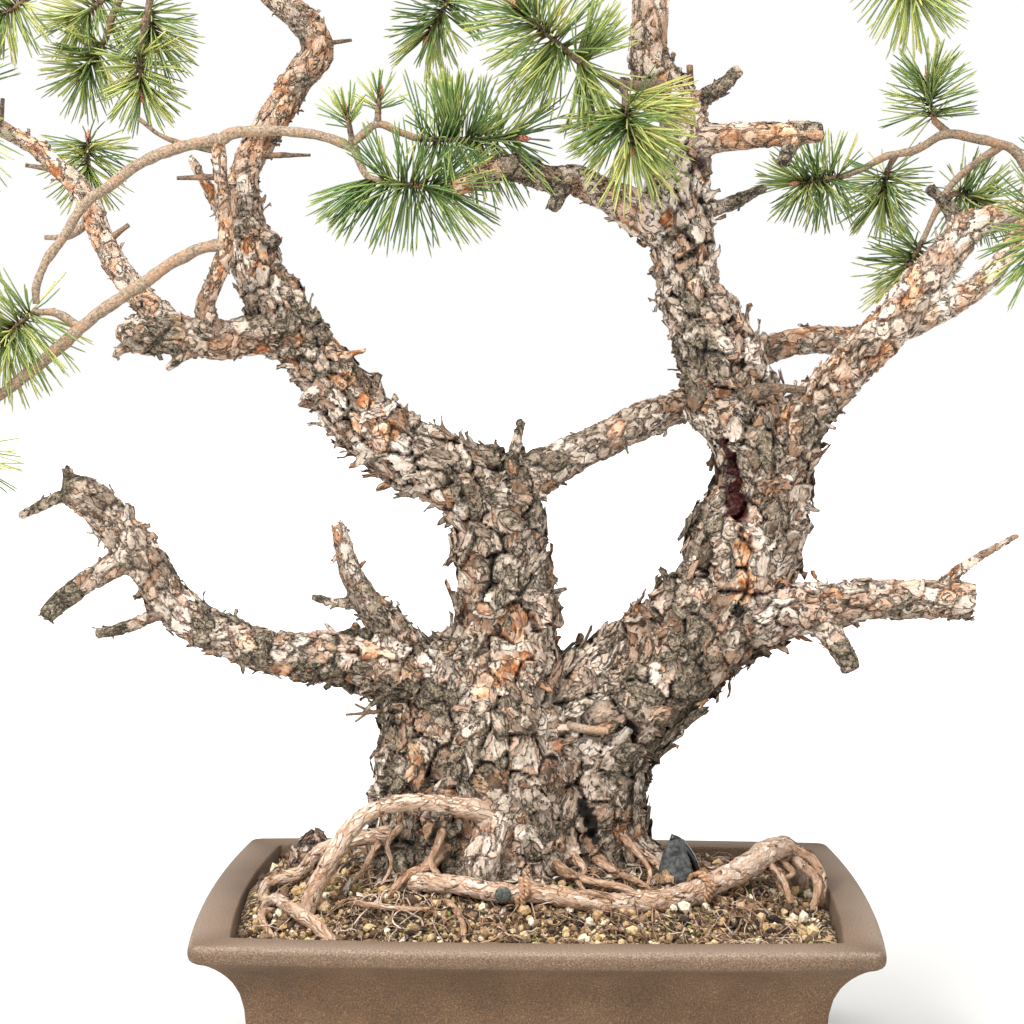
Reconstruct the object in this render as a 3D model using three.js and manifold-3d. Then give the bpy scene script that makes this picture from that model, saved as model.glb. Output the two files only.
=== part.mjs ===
// A Scots pine bonsai in its stoneware pot, in millimetres, +Z up.
// The origin is on the ground under the middle of the pot; -Y is the front.
import * as THREE from 'three';
import { mergeVertices } from 'three/addons/utils/BufferGeometryUtils.js';
import Module from 'manifold-3d';

const wasm = await Module();
wasm.setup();

// Driving dimensions of the pot
const rimLength = 420;
const rimWidth = 315;
const rimHeight = 130;
const rimFace = 23;
const sideBulge = 7;
const cornerRadius = 9;
const footHeight = 14;
const drainRadius = 14;
const drainOffset = 85;

// Driving dimensions of the soil
const soilEdge = 122;
const soilMound = 36;
const moundX = -18;
const moundLength = 195;
const moundWidth = 134;
const grainRelief = 2.2;

// Driving dimensions of the tree
const trunkRelief = 4.2;
const trunkDepth = 1.25;
const barkRelief = 0.1;
const needleLength = 46;
const needleSpread = 0.13;
const shootCore = 1.9;
const gap = 0.3;

// Seeded random numbers between 0 and 1
function seededRandom(seed) {
  let state = seed >>> 0;
  return () => {
    state = (state + 0x6d2b79f5) >>> 0;
    let value = Math.imul(state ^ (state >>> 15), 1 | state);
    value = (value + Math.imul(value ^ (value >>> 7), 61 | value)) ^ value;
    return ((value ^ (value >>> 14)) >>> 0) / 4294967296;
  };
}

const lerp = THREE.MathUtils.lerp;
const clamp = THREE.MathUtils.clamp;

// Joins and cuts of closed bodies
function toSolid(geometry) {
  const bare = geometry.clone();
  bare.deleteAttribute('normal');
  bare.deleteAttribute('uv');
  const merged = mergeVertices(bare, 1e-4);
  return new wasm.Manifold(new wasm.Mesh({
    numProp: 3,
    vertProperties: Float32Array.from(merged.attributes.position.array),
    triVerts: Uint32Array.from(merged.index.array),
  }));
}

function toGeometry(solid) {
  const mesh = solid.getMesh();
  const geometry = new THREE.BufferGeometry();
  geometry.setAttribute('position', new THREE.BufferAttribute(mesh.vertProperties, mesh.numProp));
  geometry.setIndex(new THREE.BufferAttribute(mesh.triVerts, 1));
  geometry.computeVertexNormals();
  return geometry;
}

function joined(solids) {
  return solids.reduce((whole, solid) => whole.add(solid));
}

// A closed body through rings of points, with a fan at either end
function loft(rings) {
  const count = rings[0].length;
  const positions = [];
  const index = [];
  for (const ring of rings) {
    for (const point of ring) {
      positions.push(point.x, point.y, point.z);
    }
  }
  for (let i = 0; i < rings.length - 1; i += 1) {
    for (let j = 0; j < count; j += 1) {
      const a = i * count + j;
      const b = i * count + (j + 1) % count;
      index.push(a, b, b + count, a, b + count, a + count);
    }
  }
  for (const [ring, flip] of [[0, true], [rings.length - 1, false]]) {
    const centre = positions.length / 3;
    const middle = rings[ring].reduce((sum, point) => sum.add(point), new THREE.Vector3());
    middle.divideScalar(count);
    positions.push(middle.x, middle.y, middle.z);
    for (let j = 0; j < count; j += 1) {
      const a = ring * count + j;
      const b = ring * count + (j + 1) % count;
      index.push(...(flip ? [centre, b, a] : [centre, a, b]));
    }
  }
  const geometry = new THREE.BufferGeometry();
  geometry.setAttribute('position', new THREE.Float32BufferAttribute(positions, 3));
  geometry.setIndex(index);
  return geometry;
}

// The plan of the pot: a rectangle with bowed sides and small round corners, set in by inset
function potRing(inset, z) {
  const halfX = rimLength / 2 - inset;
  const halfY = rimWidth / 2 - inset;
  const radius = Math.max(cornerRadius - inset * 0.15, 3);
  const cornerSteps = 3;
  const sideSteps = 4;
  const ring = [];
  const corners = [[1, -1, -90], [1, 1, 0], [-1, 1, 90], [-1, -1, 180]];
  for (const [sx, sy, start] of corners) {
    const along = start === -90 || start === 90;
    for (let i = 0; i <= cornerSteps; i += 1) {
      const angle = THREE.MathUtils.degToRad(start + 90 * i / cornerSteps);
      const x = sx * (halfX - radius) + radius * Math.cos(angle);
      const y = sy * (halfY - radius) + radius * Math.sin(angle);
      ring.push(new THREE.Vector3(x, y, z));
    }
    for (let i = 1; i < sideSteps; i += 1) {
      const t = i / sideSteps;
      const bow = sideBulge * 4 * t * (1 - t);
      const x = along ? sx * (halfX + bow) : lerp(sx, -sx, t) * (halfX - radius);
      const y = along ? lerp(sy, -sy, t) * (halfY - radius) : sy * (halfY + bow);
      ring.push(new THREE.Vector3(x, y, z));
    }
  }
  return ring;
}

// Outside of the pot from the foot to the rim, and inside from the rim to the floor
const outerProfile = [
  [36, footHeight], [33, 60], [31, 83], [28.6, 93], [25, 100.6], [18.5, 108.4], [10.7, 114.4],
  [4, 118.6], [1, 120.5], [0, 125], [1.4, 128.8], [4.5, rimHeight],
];
const innerProfile = [
  [rimFace, rimHeight], [rimFace + 1.5, 128], [25.5, 113], [34, 96.5], [41, 80], [43, 26],
];

function makePot() {
  const outer = outerProfile.map(([inset, z]) => potRing(inset, z));
  const inner = innerProfile.map(([inset, z]) => potRing(inset, z));
  let pot = toSolid(loft([...outer, ...inner]));
  const band = toSolid(loft([potRing(37, 0), potRing(36, footHeight + 2)]));
  const hollow = toSolid(loft([potRing(56, -5), potRing(56, footHeight)]));
  const archX = new THREE.BoxGeometry(rimLength - 190, rimWidth, footHeight * 2 - 1);
  const archY = new THREE.BoxGeometry(rimLength, rimWidth - 160, footHeight * 2 - 1);
  pot = pot.add(band.subtract(hollow).subtract(toSolid(archX)).subtract(toSolid(archY)));
  for (const side of [-1, 1]) {
    const hole = new THREE.CylinderGeometry(drainRadius, drainRadius, 40, 16);
    hole.rotateX(Math.PI / 2);
    hole.translate(side * drainOffset, 0, 20);
    pot = pot.subtract(toSolid(hole));
  }
  return toGeometry(pot);
}

// A square of coarse mesh that lies over a drain hole
const screenSide = 40;
const screenThickness = 1.2;
const screenFloor = 26 + gap;

function makeScreen(x) {
  const pitch = 11;
  const opening = 7.2;
  const plate = new THREE.BoxGeometry(screenSide, screenSide, screenThickness);
  let screen = toSolid(plate);
  for (const row of [-1, 0, 1]) {
    for (const column of [-1, 0, 1]) {
      const hole = new THREE.BoxGeometry(opening, opening, screenThickness * 3);
      hole.translate(column * pitch, row * pitch, 0);
      screen = screen.subtract(toSolid(hole));
    }
  }
  return toGeometry(screen).translate(x, 0, screenFloor + screenThickness / 2);
}

// A round bar of varying thickness bent along a route of [x, y, z, radius] points.
// relief roughens its skin, and grow makes the bar fatter and longer, for the hole it stands in.
function makeLimb({ route, sides, step, relief, squash = 1 }, random, grow = 0) {
  const points = route.map(([x, y, z]) => new THREE.Vector3(x, y, z));
  const curve = new THREE.CatmullRomCurve3(points, false, 'centripetal');
  const rings = Math.max(2, Math.round(curve.getLength() / step));
  const frames = curve.computeFrenetFrames(rings, false);
  const bar = new THREE.CylinderGeometry(1, 1, rings, sides, rings);
  bar.deleteAttribute('normal');
  bar.deleteAttribute('uv');
  const geometry = mergeVertices(bar, 1e-3);
  const place = geometry.attributes.position;
  const centres = [];
  const radii = [];
  for (let i = 0; i <= rings; i += 1) {
    const t = curve.getUtoTmapping(i / rings) * (route.length - 1);
    const low = Math.min(Math.floor(t), route.length - 2);
    centres.push(curve.getPointAt(i / rings));
    radii.push(lerp(route[low][3], route[low + 1][3], t - low));
  }
  centres[0].addScaledVector(frames.tangents[0], -grow);
  centres[rings].addScaledVector(frames.tangents[rings], grow);
  for (let v = 0; v < place.count; v += 1) {
    const ring = Math.round(place.getY(v) + rings / 2);
    const end = ring === 0 || ring === rings;
    const rough = 1 + (random() - 0.5) * 2 * relief * (end ? 0.4 : 1);
    const radius = radii[ring] * rough + grow / Math.cos(Math.PI / sides);
    const across = place.getX(v) * radius;
    const up = -place.getZ(v) * radius;
    const point = centres[ring].clone();
    point.addScaledVector(frames.normals[ring], across);
    point.addScaledVector(frames.binormals[ring], up);
    point.y = centres[ring].y + (point.y - centres[ring].y) * squash;
    place.setXYZ(v, point.x, point.y, point.z);
  }
  return geometry;
}

// The stems that make up the trunk, and the limbs that leave it, each as [x, y, z, radius] points
const trunkRoutes = [
  [[-17, 5, 124, 59], [-17, 5, 158, 54], [-19, 3, 199, 51], [-21, 2, 238, 48.5], [-24, 2, 270, 42],
    [-26, 2, 292, 34]],
  [[-56, -6, 124, 57], [-58, -8, 158, 50], [-60, -8, 198, 45], [-63, -8, 237, 42], [-72, -10, 268, 34],
    [-84, -12, 283, 24]],
  [[23, 0, 124, 54], [23, 0, 157, 47], [26, 0, 197, 43], [33, 0, 233, 41], [52, 0, 257, 38]],
  [[34, 0, 240, 41], [67, 0, 269, 38], [99, 0, 299, 36], [124, 0, 329, 35], [135, 0, 362, 34],
    [145, 0, 395, 31], [145, 0, 422, 30], [135, 0, 445, 28.5], [125, 0, 463, 28], [117, -1, 481, 26]],
  [[-26, 0, 283, 37], [-22, 2, 306, 33], [-23, 4, 329, 31], [-26, 5, 348, 29], [-29, 5, 375, 27],
    [-36, 5, 394, 26.5], [-49, 4, 403, 24]],
];

const limbRoutes = {
  leftLow: [[-74, -10, 264, 31], [-91, -12, 278, 22], [-130, -16, 286, 17], [-162, -20, 287, 14.3],
    [-191, -24, 295, 13], [-219, -28, 308, 12.3], [-238, -30, 324, 12.9], [-251, -32, 344, 12.9],
    [-263, -34, 360, 12.9], [-279, -37, 380, 12.2], [-294, -40, 393, 10.5], [-302, -42, 397, 8.5]],
  leftLowEnd: [[-292, -40, 393, 7], [-306, -43, 392, 4], [-320, -46, 385, 3.2], [-332, -48, 379, 2.9]],
  leftLowFork: [[-258, -34, 357, 10], [-268, -37, 350, 8], [-285, -40, 340, 7.2], [-303, -44, 327, 7],
    [-316, -46, 315, 5.8]],
  leftLowTwig: [[-236, -30, 322, 7], [-248, -32, 315, 4.5], [-267, -36, 307, 3.9], [-285, -40, 303, 3.2]],
  leftLowTip: [[-298, -41, 393, 6], [-301, -41, 403, 4], [-301, -40, 411, 2.6]],
  leftShort: [[-88, -12, 286, 18], [-98, -18, 306, 13], [-110, -20, 321, 9.7], [-121, -24, 341, 7.8],
    [-127, -26, 360, 6.5], [-130, -27, 374, 5]],
  leftShortTwig: [[-112, -21, 323, 5], [-126, -24, 322, 3.9], [-147, -28, 327, 2.6]],
  leftMain: [[-33, 5, 386, 26], [-49, 4, 398, 25], [-70, 3, 410, 23], [-98, 2, 426, 20.3],
    [-121, 0, 446, 19], [-138, -2, 468, 18.3], [-154, -4, 488, 17.6], [-169, -4, 512, 16.9],
    [-182, -4, 532, 15.6], [-189, -3, 556, 14.3], [-194, -2, 577, 13], [-194, 0, 598, 11],
    [-183, 4, 622, 10.4], [-172, 8, 641, 9.8], [-161, 10, 660, 10.2], [-147, 12, 681, 10.4],
    [-152, 12, 695, 9.8], [-171, 14, 713, 9.4], [-188, 14, 733, 8.4], [-197, 8, 756, 7],
    [-193, 2, 778, 5.4], [-186, 0, 794, 4]],
  leftMainSpur: [[-195, -3, 566, 9], [-205, -10, 574, 5.8], [-217, -16, 593, 3.9], [-226, -20, 610, 2.2]],
  leftMainPegA: [[-184, 2, 612, 4], [-150, -2, 612, 1.6]],
  leftMainPegB: [[-150, 11, 684, 4], [-124, 8, 687, 1.4]],
  knot: [[-155, -4, 489, 15.6], [-168, -10, 495, 13.6], [-188, -18, 495, 11.6], [-209, -24, 492, 11.6],
    [-235, -26, 495, 11.6], [-258, -24, 495, 10.9], [-268, -22, 501, 8.4]],
  knotPegA: [[-258, -24, 492, 5], [-275, -27, 482, 2.6]],
  knotPegB: [[-222, -25, 488, 5], [-240, -31, 473, 2.6]],
  leftBack: [[-230, -18, 498, 9.7], [-245, -4, 504, 9.1], [-264, 14, 521, 8.6], [-283, 28, 543, 8],
    [-295, 38, 565, 8], [-307, 48, 589, 7.4], [-324, 54, 606, 6.1], [-342, 58, 621, 5.4],
    [-366, 60, 634, 5], [-384, 60, 648, 4], [-392, 60, 660, 3.2]],
  leftBackTwig: [[-300, 42, 574, 4], [-316, 40, 561, 2.4], [-332, 38, 560, 1.8]],
  leftBackPeg: [[-366, 60, 632, 3.5], [-364, 60, 654, 2]],
  frontRise: [[-212, -22, 490, 10], [-213, -40, 514, 6.4], [-203, -48, 536, 5.7], [-198, -52, 555, 5],
    [-200, -55, 580, 5], [-201, -57, 601, 4.7], [-203, -58, 620, 4.2]],
  archRight: [[-203, -58, 615, 4], [-193, -58, 621, 3.7], [-182, -58, 622, 3.7], [-157, -58, 622, 3.4],
    [-132, -58, 618, 3.1], [-116, -58, 611, 3]],
  archRightUp: [[-119, -58, 614, 2.8], [-110, -59, 622, 2.6], [-102, -60, 627, 2.4],
    [-91, -58, 623, 2.2], [-77, -55, 618, 2]],
  archRightDown: [[-117, -58, 613, 2.8], [-113, -59, 602, 2.6], [-108, -61, 594, 2.2], [-99, -62, 591, 2]],
  archLeft: [[-202, -58, 617, 4], [-226, -60, 612, 3.7], [-250, -62, 602, 3.4], [-269, -64, 588, 3.4],
    [-285, -65, 576, 3.3], [-297, -66, 557, 3.1], [-309, -67, 540, 2.8], [-315, -68, 524, 2.5],
    [-315, -68, 514, 2.2]],
  frontPeg: [[-201, -56, 594, 4], [-228, -59, 593, 1.8]],
  twigTwo: [[-199, -52, 552, 5], [-211, -54, 550, 3.8], [-227, -56, 543, 3.8], [-251, -60, 526, 3.8],
    [-276, -64, 509, 3.8], [-300, -68, 488, 3.8], [-318, -72, 472, 3.7], [-337, -75, 457, 3.5],
    [-360, -76, 442, 3], [-380, -74, 436, 2.5]],
  twigTwoSide: [[-288, -66, 499, 3], [-302, -66, 508, 2.4], [-317, -68, 509, 2]],
  twigTwoEnd: [[-352, -76, 447, 3], [-362, -80, 428, 2.2]],
  connector: [[-27, 6, 393, 22], [-13, 10, 401, 15.8], [7, 14, 411, 11.9], [33, 18, 424, 10.9],
    [60, 24, 437, 11.3], [83, 30, 446, 10.6], [100, 36, 452, 10], [124, 44, 467, 9.4], [145, 48, 483, 9.4],
    [168, 52, 491, 8.7], [188, 56, 494, 8.8], [209, 58, 494, 10.1], [229, 60, 498, 8.8],
    [249, 62, 505, 8.8], [270, 66, 515, 9.2], [292, 72, 528, 8.6], [312, 80, 546, 7.2],
    [326, 88, 570, 5.8], [332, 93, 596, 4.6], [334, 96, 616, 4]],
  deadStub: [[-21, -2, 392, 7], [-17, -4, 418, 3.9], [-13, -6, 438, 2.4]],
  rightTop: [[120, -1, 474, 26], [107, -2, 503, 22.1], [98, -2, 523, 20.1], [93, -2, 542, 18.8],
    [91, -2, 563, 21], [90, 0, 587, 20.1], [90, 2, 602, 18.2], [92, 4, 617, 17.5], [94, 5, 630, 14.9],
    [88, 6, 646, 14.3], [74, 8, 663, 14], [68, 8, 677, 13], [69, 8, 693, 11.7], [70, 8, 713, 10.4],
    [72, 8, 736, 9], [66, 4, 758, 7.2], [55, 0, 778, 5.6], [48, -2, 793, 4.2]],
  centreBranch: [[80, -6, 568, 17], [67, -16, 570, 12.8], [50, -26, 581, 10.8], [35, -34, 588, 9.5],
    [21, -42, 594, 8.8], [5, -50, 593, 7.8], [-15, -58, 600, 8.1], [-31, -64, 597, 7.5],
    [-45, -70, 590, 6.2], [-55, -73, 586, 5]],
  centrePeg: [[19, -43, 594, 7.5], [13, -54, 586, 5.3], [7, -64, 575, 4.4]],
  pegA: [[92, 3, 640, 10], [103, -2, 649, 5.8], [113, -6, 655, 5.2], [127, -10, 667, 3.9]],
  pegB: [[93, 8, 646, 4], [96, 10, 657, 2.4], [96, 12, 672, 2]],
  pegC: [[94, 2, 619, 14], [107, -2, 623, 9.7], [128, -8, 624, 8.4], [159, -14, 626, 7.7],
    [180, -18, 627, 6.4]],
  pegCSide: [[161, -14, 622, 6], [157, -24, 613, 4.8], [153, -32, 606, 4.4]],
  pegD: [[98, 0, 575, 9], [113, 4, 579, 5.2], [129, 8, 585, 4.6], [147, 12, 594, 3.3]],
  pegE: [[134, -22, 459, 6], [152, -28, 463, 2.9], [170, -32, 462, 2.2]],
  rightLow: [[112, -5, 304, 27], [134, -12, 311, 20.2], [163, -18, 319, 17.5], [188, -22, 322, 14.9],
    [213, -25, 327, 12.3], [245, -28, 328, 11.6], [279, -30, 327, 11.6]],
  rightLowTwig: [[256, -29, 327, 7], [264, -30, 342, 3.9], [279, -32, 354, 2.9], [295, -34, 364, 2.6],
    [306, -36, 371, 2.2]],
  rightLowPeg: [[180, -22, 316, 10], [192, -34, 299, 7.1], [201, -42, 284, 6.4]],
  rightUpper: [[146, -4, 396, 21], [161, -14, 422, 16.8], [169, -20, 442, 15.5], [183, -24, 459, 14.1],
    [201, -28, 480, 13.4], [219, -30, 499, 13.4], [233, -32, 517, 13.4], [249, -34, 536, 12.1],
    [261, -36, 553, 10.8], [270, -38, 565, 10.1], [286, -40, 572, 8.2], [304, -42, 578, 6.3],
    [330, -42, 586, 5], [356, -38, 596, 4.2], [376, -32, 608, 3.4]],
  rightUpperPeg: [[268, -38, 562, 8], [254, -42, 581, 4.4], [243, -46, 590, 3.6]],
  rightBackA: [[333, 95, 612, 3.8], [324, 97, 625, 3.4], [314, 98, 629, 3.4], [298, 100, 633, 3.2],
    [278, 102, 636, 3], [257, 104, 625, 2.8], [238, 106, 621, 2.6], [221, 104, 612, 2.4],
    [205, 94, 606, 2.1]],
  rightBackB: [[316, 98, 628, 3], [298, 100, 616, 2.6], [282, 100, 601, 2.4], [273, 98, 586, 2.2],
    [262, 96, 562, 2]],
};

// Twigs that carry the foliage where the limbs end, above and outside the limbs
const twigRoutes = {
  leftBackOne: [[-190, 13, 738, 6], [-222, 50, 756, 4.8], [-256, 86, 752, 4.2], [-288, 106, 740, 3.4],
    [-302, 112, 730, 2.6]],
  leftBackTwo: [[-250, 80, 753, 3.4], [-268, 96, 735, 2.8], [-272, 102, 722, 2.2]],
  leftBackThree: [[-262, 90, 748, 3.2], [-270, 94, 722, 2.6], [-276, 97, 698, 2.2], [-278, 99, 688, 2]],
  leftBackFour: [[-286, 104, 740, 3], [-298, 108, 716, 2.6], [-304, 110, 698, 2.2]],
  leftBackFive: [[-306, 48, 586, 4], [-311, 72, 594, 2.8], [-314, 92, 604, 2.2]],
  leftBackSix: [[-258, 84, 752, 3.4], [-300, 72, 744, 2.8], [-336, 64, 728, 2.2], [-348, 62, 720, 2]],
  leftFrontOne: [[-196, 9, 752, 5], [-213, -18, 770, 3.6], [-232, -38, 784, 2.6]],
  leftFrontTwo: [[-212, -17, 769, 3], [-208, -42, 782, 2.2]],
  leftTopRight: [[-194, 4, 772, 4.4], [-168, -6, 784, 3.2], [-146, -14, 788, 2.4]],
  leftTopBack: [[-195, 6, 762, 4.4], [-190, 32, 778, 3], [-186, 50, 788, 2.2]],
  leftFar: [[-374, 60, 640, 4], [-382, 48, 632, 2.2]],
  topLeftOne: [[68, 5, 752, 6], [30, 34, 768, 4.4], [-10, 56, 762, 3.8], [-46, 66, 744, 3],
    [-60, 70, 728, 2.2]],
  topLeftTwo: [[-40, 64, 748, 3], [-60, 60, 758, 2.2]],
  topRightOne: [[71, 7, 742, 6], [110, -16, 764, 4.6], [160, -30, 768, 3.8], [204, -38, 756, 3],
    [222, -40, 744, 2.2]],
  topRightTwo: [[158, -29, 768, 3.2], [166, -26, 784, 2.2]],
  topRightThree: [[200, -37, 758, 3], [224, -28, 762, 2.2]],
  topBackOne: [[66, 5, 756, 5], [100, 32, 776, 4.2], [146, 58, 782, 3.4], [184, 74, 778, 2.4]],
  topBackTwo: [[98, 31, 775, 3.6], [84, 58, 790, 2.2]],
  topBackThree: [[144, 57, 782, 3], [148, 84, 780, 2.2]],
  topFrontOne: [[56, 0, 774, 4.6], [24, -28, 790, 3.4], [-8, -46, 796, 2.4]],
  topFrontTwo: [[28, -25, 788, 3], [36, -50, 794, 2.2]],
  centreTop: [[78, 2, 658, 6], [64, -22, 655, 3.4], [49, -40, 654, 3], [27, -55, 664, 2.6],
    [18, -58, 670, 2.2]],
  centreTopDown: [[50, -39, 654, 3], [52, -54, 645, 2.3], [52, -60, 638, 2]],
  rightFarOne: [[356, -38, 596, 4], [362, -60, 606, 2.2]],
  rightFarTwo: [[358, -38, 597, 4], [368, -10, 608, 2.2]],
  rightFarThree: [[312, -42, 580, 5], [318, -52, 574, 2.4]],
  rightBackC: [[280, 102, 636, 3], [270, 106, 646, 2.2]],
  rightBackD: [[331, 93, 596, 4], [350, 108, 612, 2.2]],
  rightBackE: [[276, 99, 592, 2.6], [287, 107, 596, 2]],
  rightBackF: [[244, 106, 622, 2.6], [240, 116, 612, 2]],
};

// Roots over the soil, and those under it that the tree stands on
const rootRoutes = {
  archRoot: [[-27, -48, 188, 10], [-43, -62, 196, 7], [-62, -67, 200, 5.7], [-87, -68, 200, 5.4],
    [-106, -70, 195, 5.4], [-121, -74, 181, 5.7], [-130, -78, 166, 5.7], [-140, -80, 148, 5.7],
    [-146, -82, 128, 5]],
  kneeRoot: [[-27, -48, 188, 11], [-30, -64, 176, 10.2], [-34, -72, 158, 9], [-35, -76, 138, 7]],
  frontRoot: [[-78, -44, 158, 8], [-68, -76, 154, 6.2], [-42, -88, 151, 6], [-20, -92, 149, 6.2],
    [2, -93, 149, 6.2], [27, -93, 145, 6.5], [52, -88, 142, 6.9], [84, -74, 142, 7.3], [111, -52, 146, 7.7],
    [135, -26, 151, 8.1], [155, 4, 157, 8.3], [168, 22, 152, 8], [176, 36, 131, 7.8], [174, 42, 112, 6]],
  edgeRoot: [[-60, -40, 128, 9], [-120, -50, 112, 7], [-162, -50, 110, 5], [-174, -52, 122, 4],
    [-173, -55, 132, 3.6], [-167, -60, 136, 3.8], [-156, -78, 135, 4.1], [-139, -98, 130, 4.4],
    [-124, -114, 121, 4]],
  sideRoot: [[-80, -26, 172, 7], [-112, -34, 171, 5.2], [-135, -34, 165, 4.6], [-142, -34, 161, 4.5],
    [-149, -34, 153, 4.5], [-155, -34, 147, 4.2], [-166, -34, 144, 3.9], [-176, -34, 140, 3.6],
    [-178, -34, 124, 3.2]],
  backRoot: [[0, 50, 150, 16], [24, 86, 138, 9], [52, 106, 126, 7], [66, 112, 108, 5]],
  rightFlare: [[52, -10, 160, 18], [86, -14, 142, 10], [104, -18, 120, 7]],
  leftFlare: [[-92, 14, 156, 16], [-118, 24, 142, 9], [-140, 30, 118, 6]],
};

// Sides and length of step that suit a limb of this thickness
function limbStyle(route, relief) {
  const thickness = Math.max(...route.slice(1).map((point) => point[3]));
  const sides = Math.round(clamp(3.4 + thickness * 0.22, 4, 9));
  const step = clamp(thickness * 1.1 + 10, 14, 26);
  return { route, relief, sides, step };
}

function treeLimbs() {
  const styles = trunkRoutes.map((route, number) => ({
    route, sides: 11, step: 24, relief: trunkRelief / 50, squash: number === 0 ? trunkDepth : 0.95,
  }));
  for (const route of Object.values(limbRoutes)) {
    styles.push(limbStyle(route, barkRelief));
  }
  for (const route of Object.values(rootRoutes)) {
    styles.push(limbStyle(route, barkRelief * 0.4));
  }
  for (const route of Object.values(twigRoutes)) {
    styles.push({ route, sides: 3, step: 30, relief: 0.02 });
  }
  for (const { stalk } of youngSprays) {
    styles.push({ route: stalk, sides: 3, step: 8, relief: 0.02 });
  }
  styles.forEach((style, number) => {
    style.seed = 100 + number;
  });
  return styles;
}

function makeTreeSolid(styles, grow) {
  return joined(styles.map((style) => toSolid(makeLimb(style, seededRandom(style.seed), grow))));
}

// Height of the soil, which rises to a mound round the trunk
function soilHeight(x, y) {
  const away = ((x - moundX) / moundLength) ** 2 + (y / moundWidth) ** 2;
  return soilEdge + soilMound * Math.max(0, 1 - away) ** 0.9;
}

function makeSoilSolid() {
  const random = seededRandom(5);
  const rings = innerProfile.slice(2).reverse().map(([inset, z]) => potRing(inset + gap * 1.5, z + gap));
  const brim = potRing(25.2 + gap, 0);
  const steps = 8;
  for (let i = 0; i < steps; i += 1) {
    const scale = (1 - i / steps) ** 0.9;
    rings.push(brim.map((point) => {
      const x = moundX * (1 - scale) + point.x * scale;
      const y = point.y * scale;
      const grain = (random() - 0.5) * 2 * grainRelief;
      return new THREE.Vector3(x, y, soilHeight(x, y) + grain - (i === 0 ? 3 : 0));
    }));
  }
  return toSolid(loft(rings));
}

// A stone, shard or chunk: a box whose corners and edges are moved out of true
function makeChunk({ at, size, lean, taper, seed }, grow = 0) {
  const random = seededRandom(seed);
  const block = new THREE.BoxGeometry(1, 1, 1, 2, 2, 3);
  block.deleteAttribute('normal');
  block.deleteAttribute('uv');
  const geometry = mergeVertices(block, 1e-4);
  const place = geometry.attributes.position;
  for (let v = 0; v < place.count; v += 1) {
    const height = place.getZ(v) + 0.5;
    const round = 1 - 0.16 * (Math.abs(place.getX(v)) + Math.abs(place.getY(v)));
    const width = lerp(1, taper, height) * round * lerp(0.88, 1.08, random());
    const x = place.getX(v) * (size[0] * width + 2 * grow) + lean[0] * height;
    const y = place.getY(v) * (size[1] * width + 2 * grow) + lean[1] * height;
    const z = place.getZ(v) * (size[2] * lerp(0.94, 1.04, random()) + 2 * grow);
    place.setXYZ(v, x + at[0], y + at[1], z + at[2]);
  }
  return geometry;
}

const slateWedge = { at: [88, -44, 151], size: [30, 15, 40], lean: [-6, 3], taper: 0.42, seed: 31 };
const barkChunk = { at: [-158, -4, 148], size: [30, 20, 34], lean: [8, 2], taper: 0.6, seed: 37 };

// A thin curled shard that leans over the slate
const shardRoute = [[90, -30, 172], [96, -30, 172.5], [101, -30, 168], [104, -30, 160], [104.5, -30, 148]];

function makeShard(grow = 0) {
  const curve = new THREE.CatmullRomCurve3(shardRoute.map((point) => new THREE.Vector3(...point)));
  const half = 4.5 + grow;
  const thick = 1.1 + grow;
  const section = new THREE.Shape();
  section.moveTo(-thick, -half);
  section.lineTo(thick, -half);
  section.lineTo(thick, half);
  section.lineTo(-thick, half);
  return new THREE.ExtrudeGeometry(section, { steps: 10, extrudePath: curve, bevelEnabled: false });
}

// A tie of cord wound round a root, as one broad ring
function makeTie({ at, along, radius }, grow = 0) {
  const cord = 1.5;
  const turns = 1.9;
  const ring = new THREE.TorusGeometry(radius, cord + grow, 5, 12);
  ring.scale(1, 1, turns);
  const direction = new THREE.Vector3(...along).normalize();
  ring.applyQuaternion(new THREE.Quaternion().setFromUnitVectors(new THREE.Vector3(0, 0, 1), direction));
  ring.translate(...at);
  return ring;
}

const ties = {
  cord_tie_left: { at: [-9, -92.6, 149.2], along: [1, 0, 0], radius: 9 },
  cord_tie_right: { at: [104, -58, 144.8], along: [0.78, 0.62, 0.12], radius: 10.2 },
};

// A round-headed nail in the front root, its head to the front
const nailHead = 5.2;
const nailShank = 1.5;
const nailAt = [-21, -98.8, 149.5];

function makeNail(grow = 0) {
  const profile = [
    [0, -12 - grow], [nailShank + grow, -10 - grow], [nailShank + grow, -grow], [nailHead + grow, -grow],
    [nailHead + grow, 1.1 + grow], [nailHead * 0.6, 2.2 + grow], [0, 2.6 + grow],
  ];
  const nail = new THREE.LatheGeometry(profile.map(([x, y]) => new THREE.Vector2(x, y)), 12);
  nail.rotateX(Math.PI);
  nail.translate(...nailAt);
  return nail;
}

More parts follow.
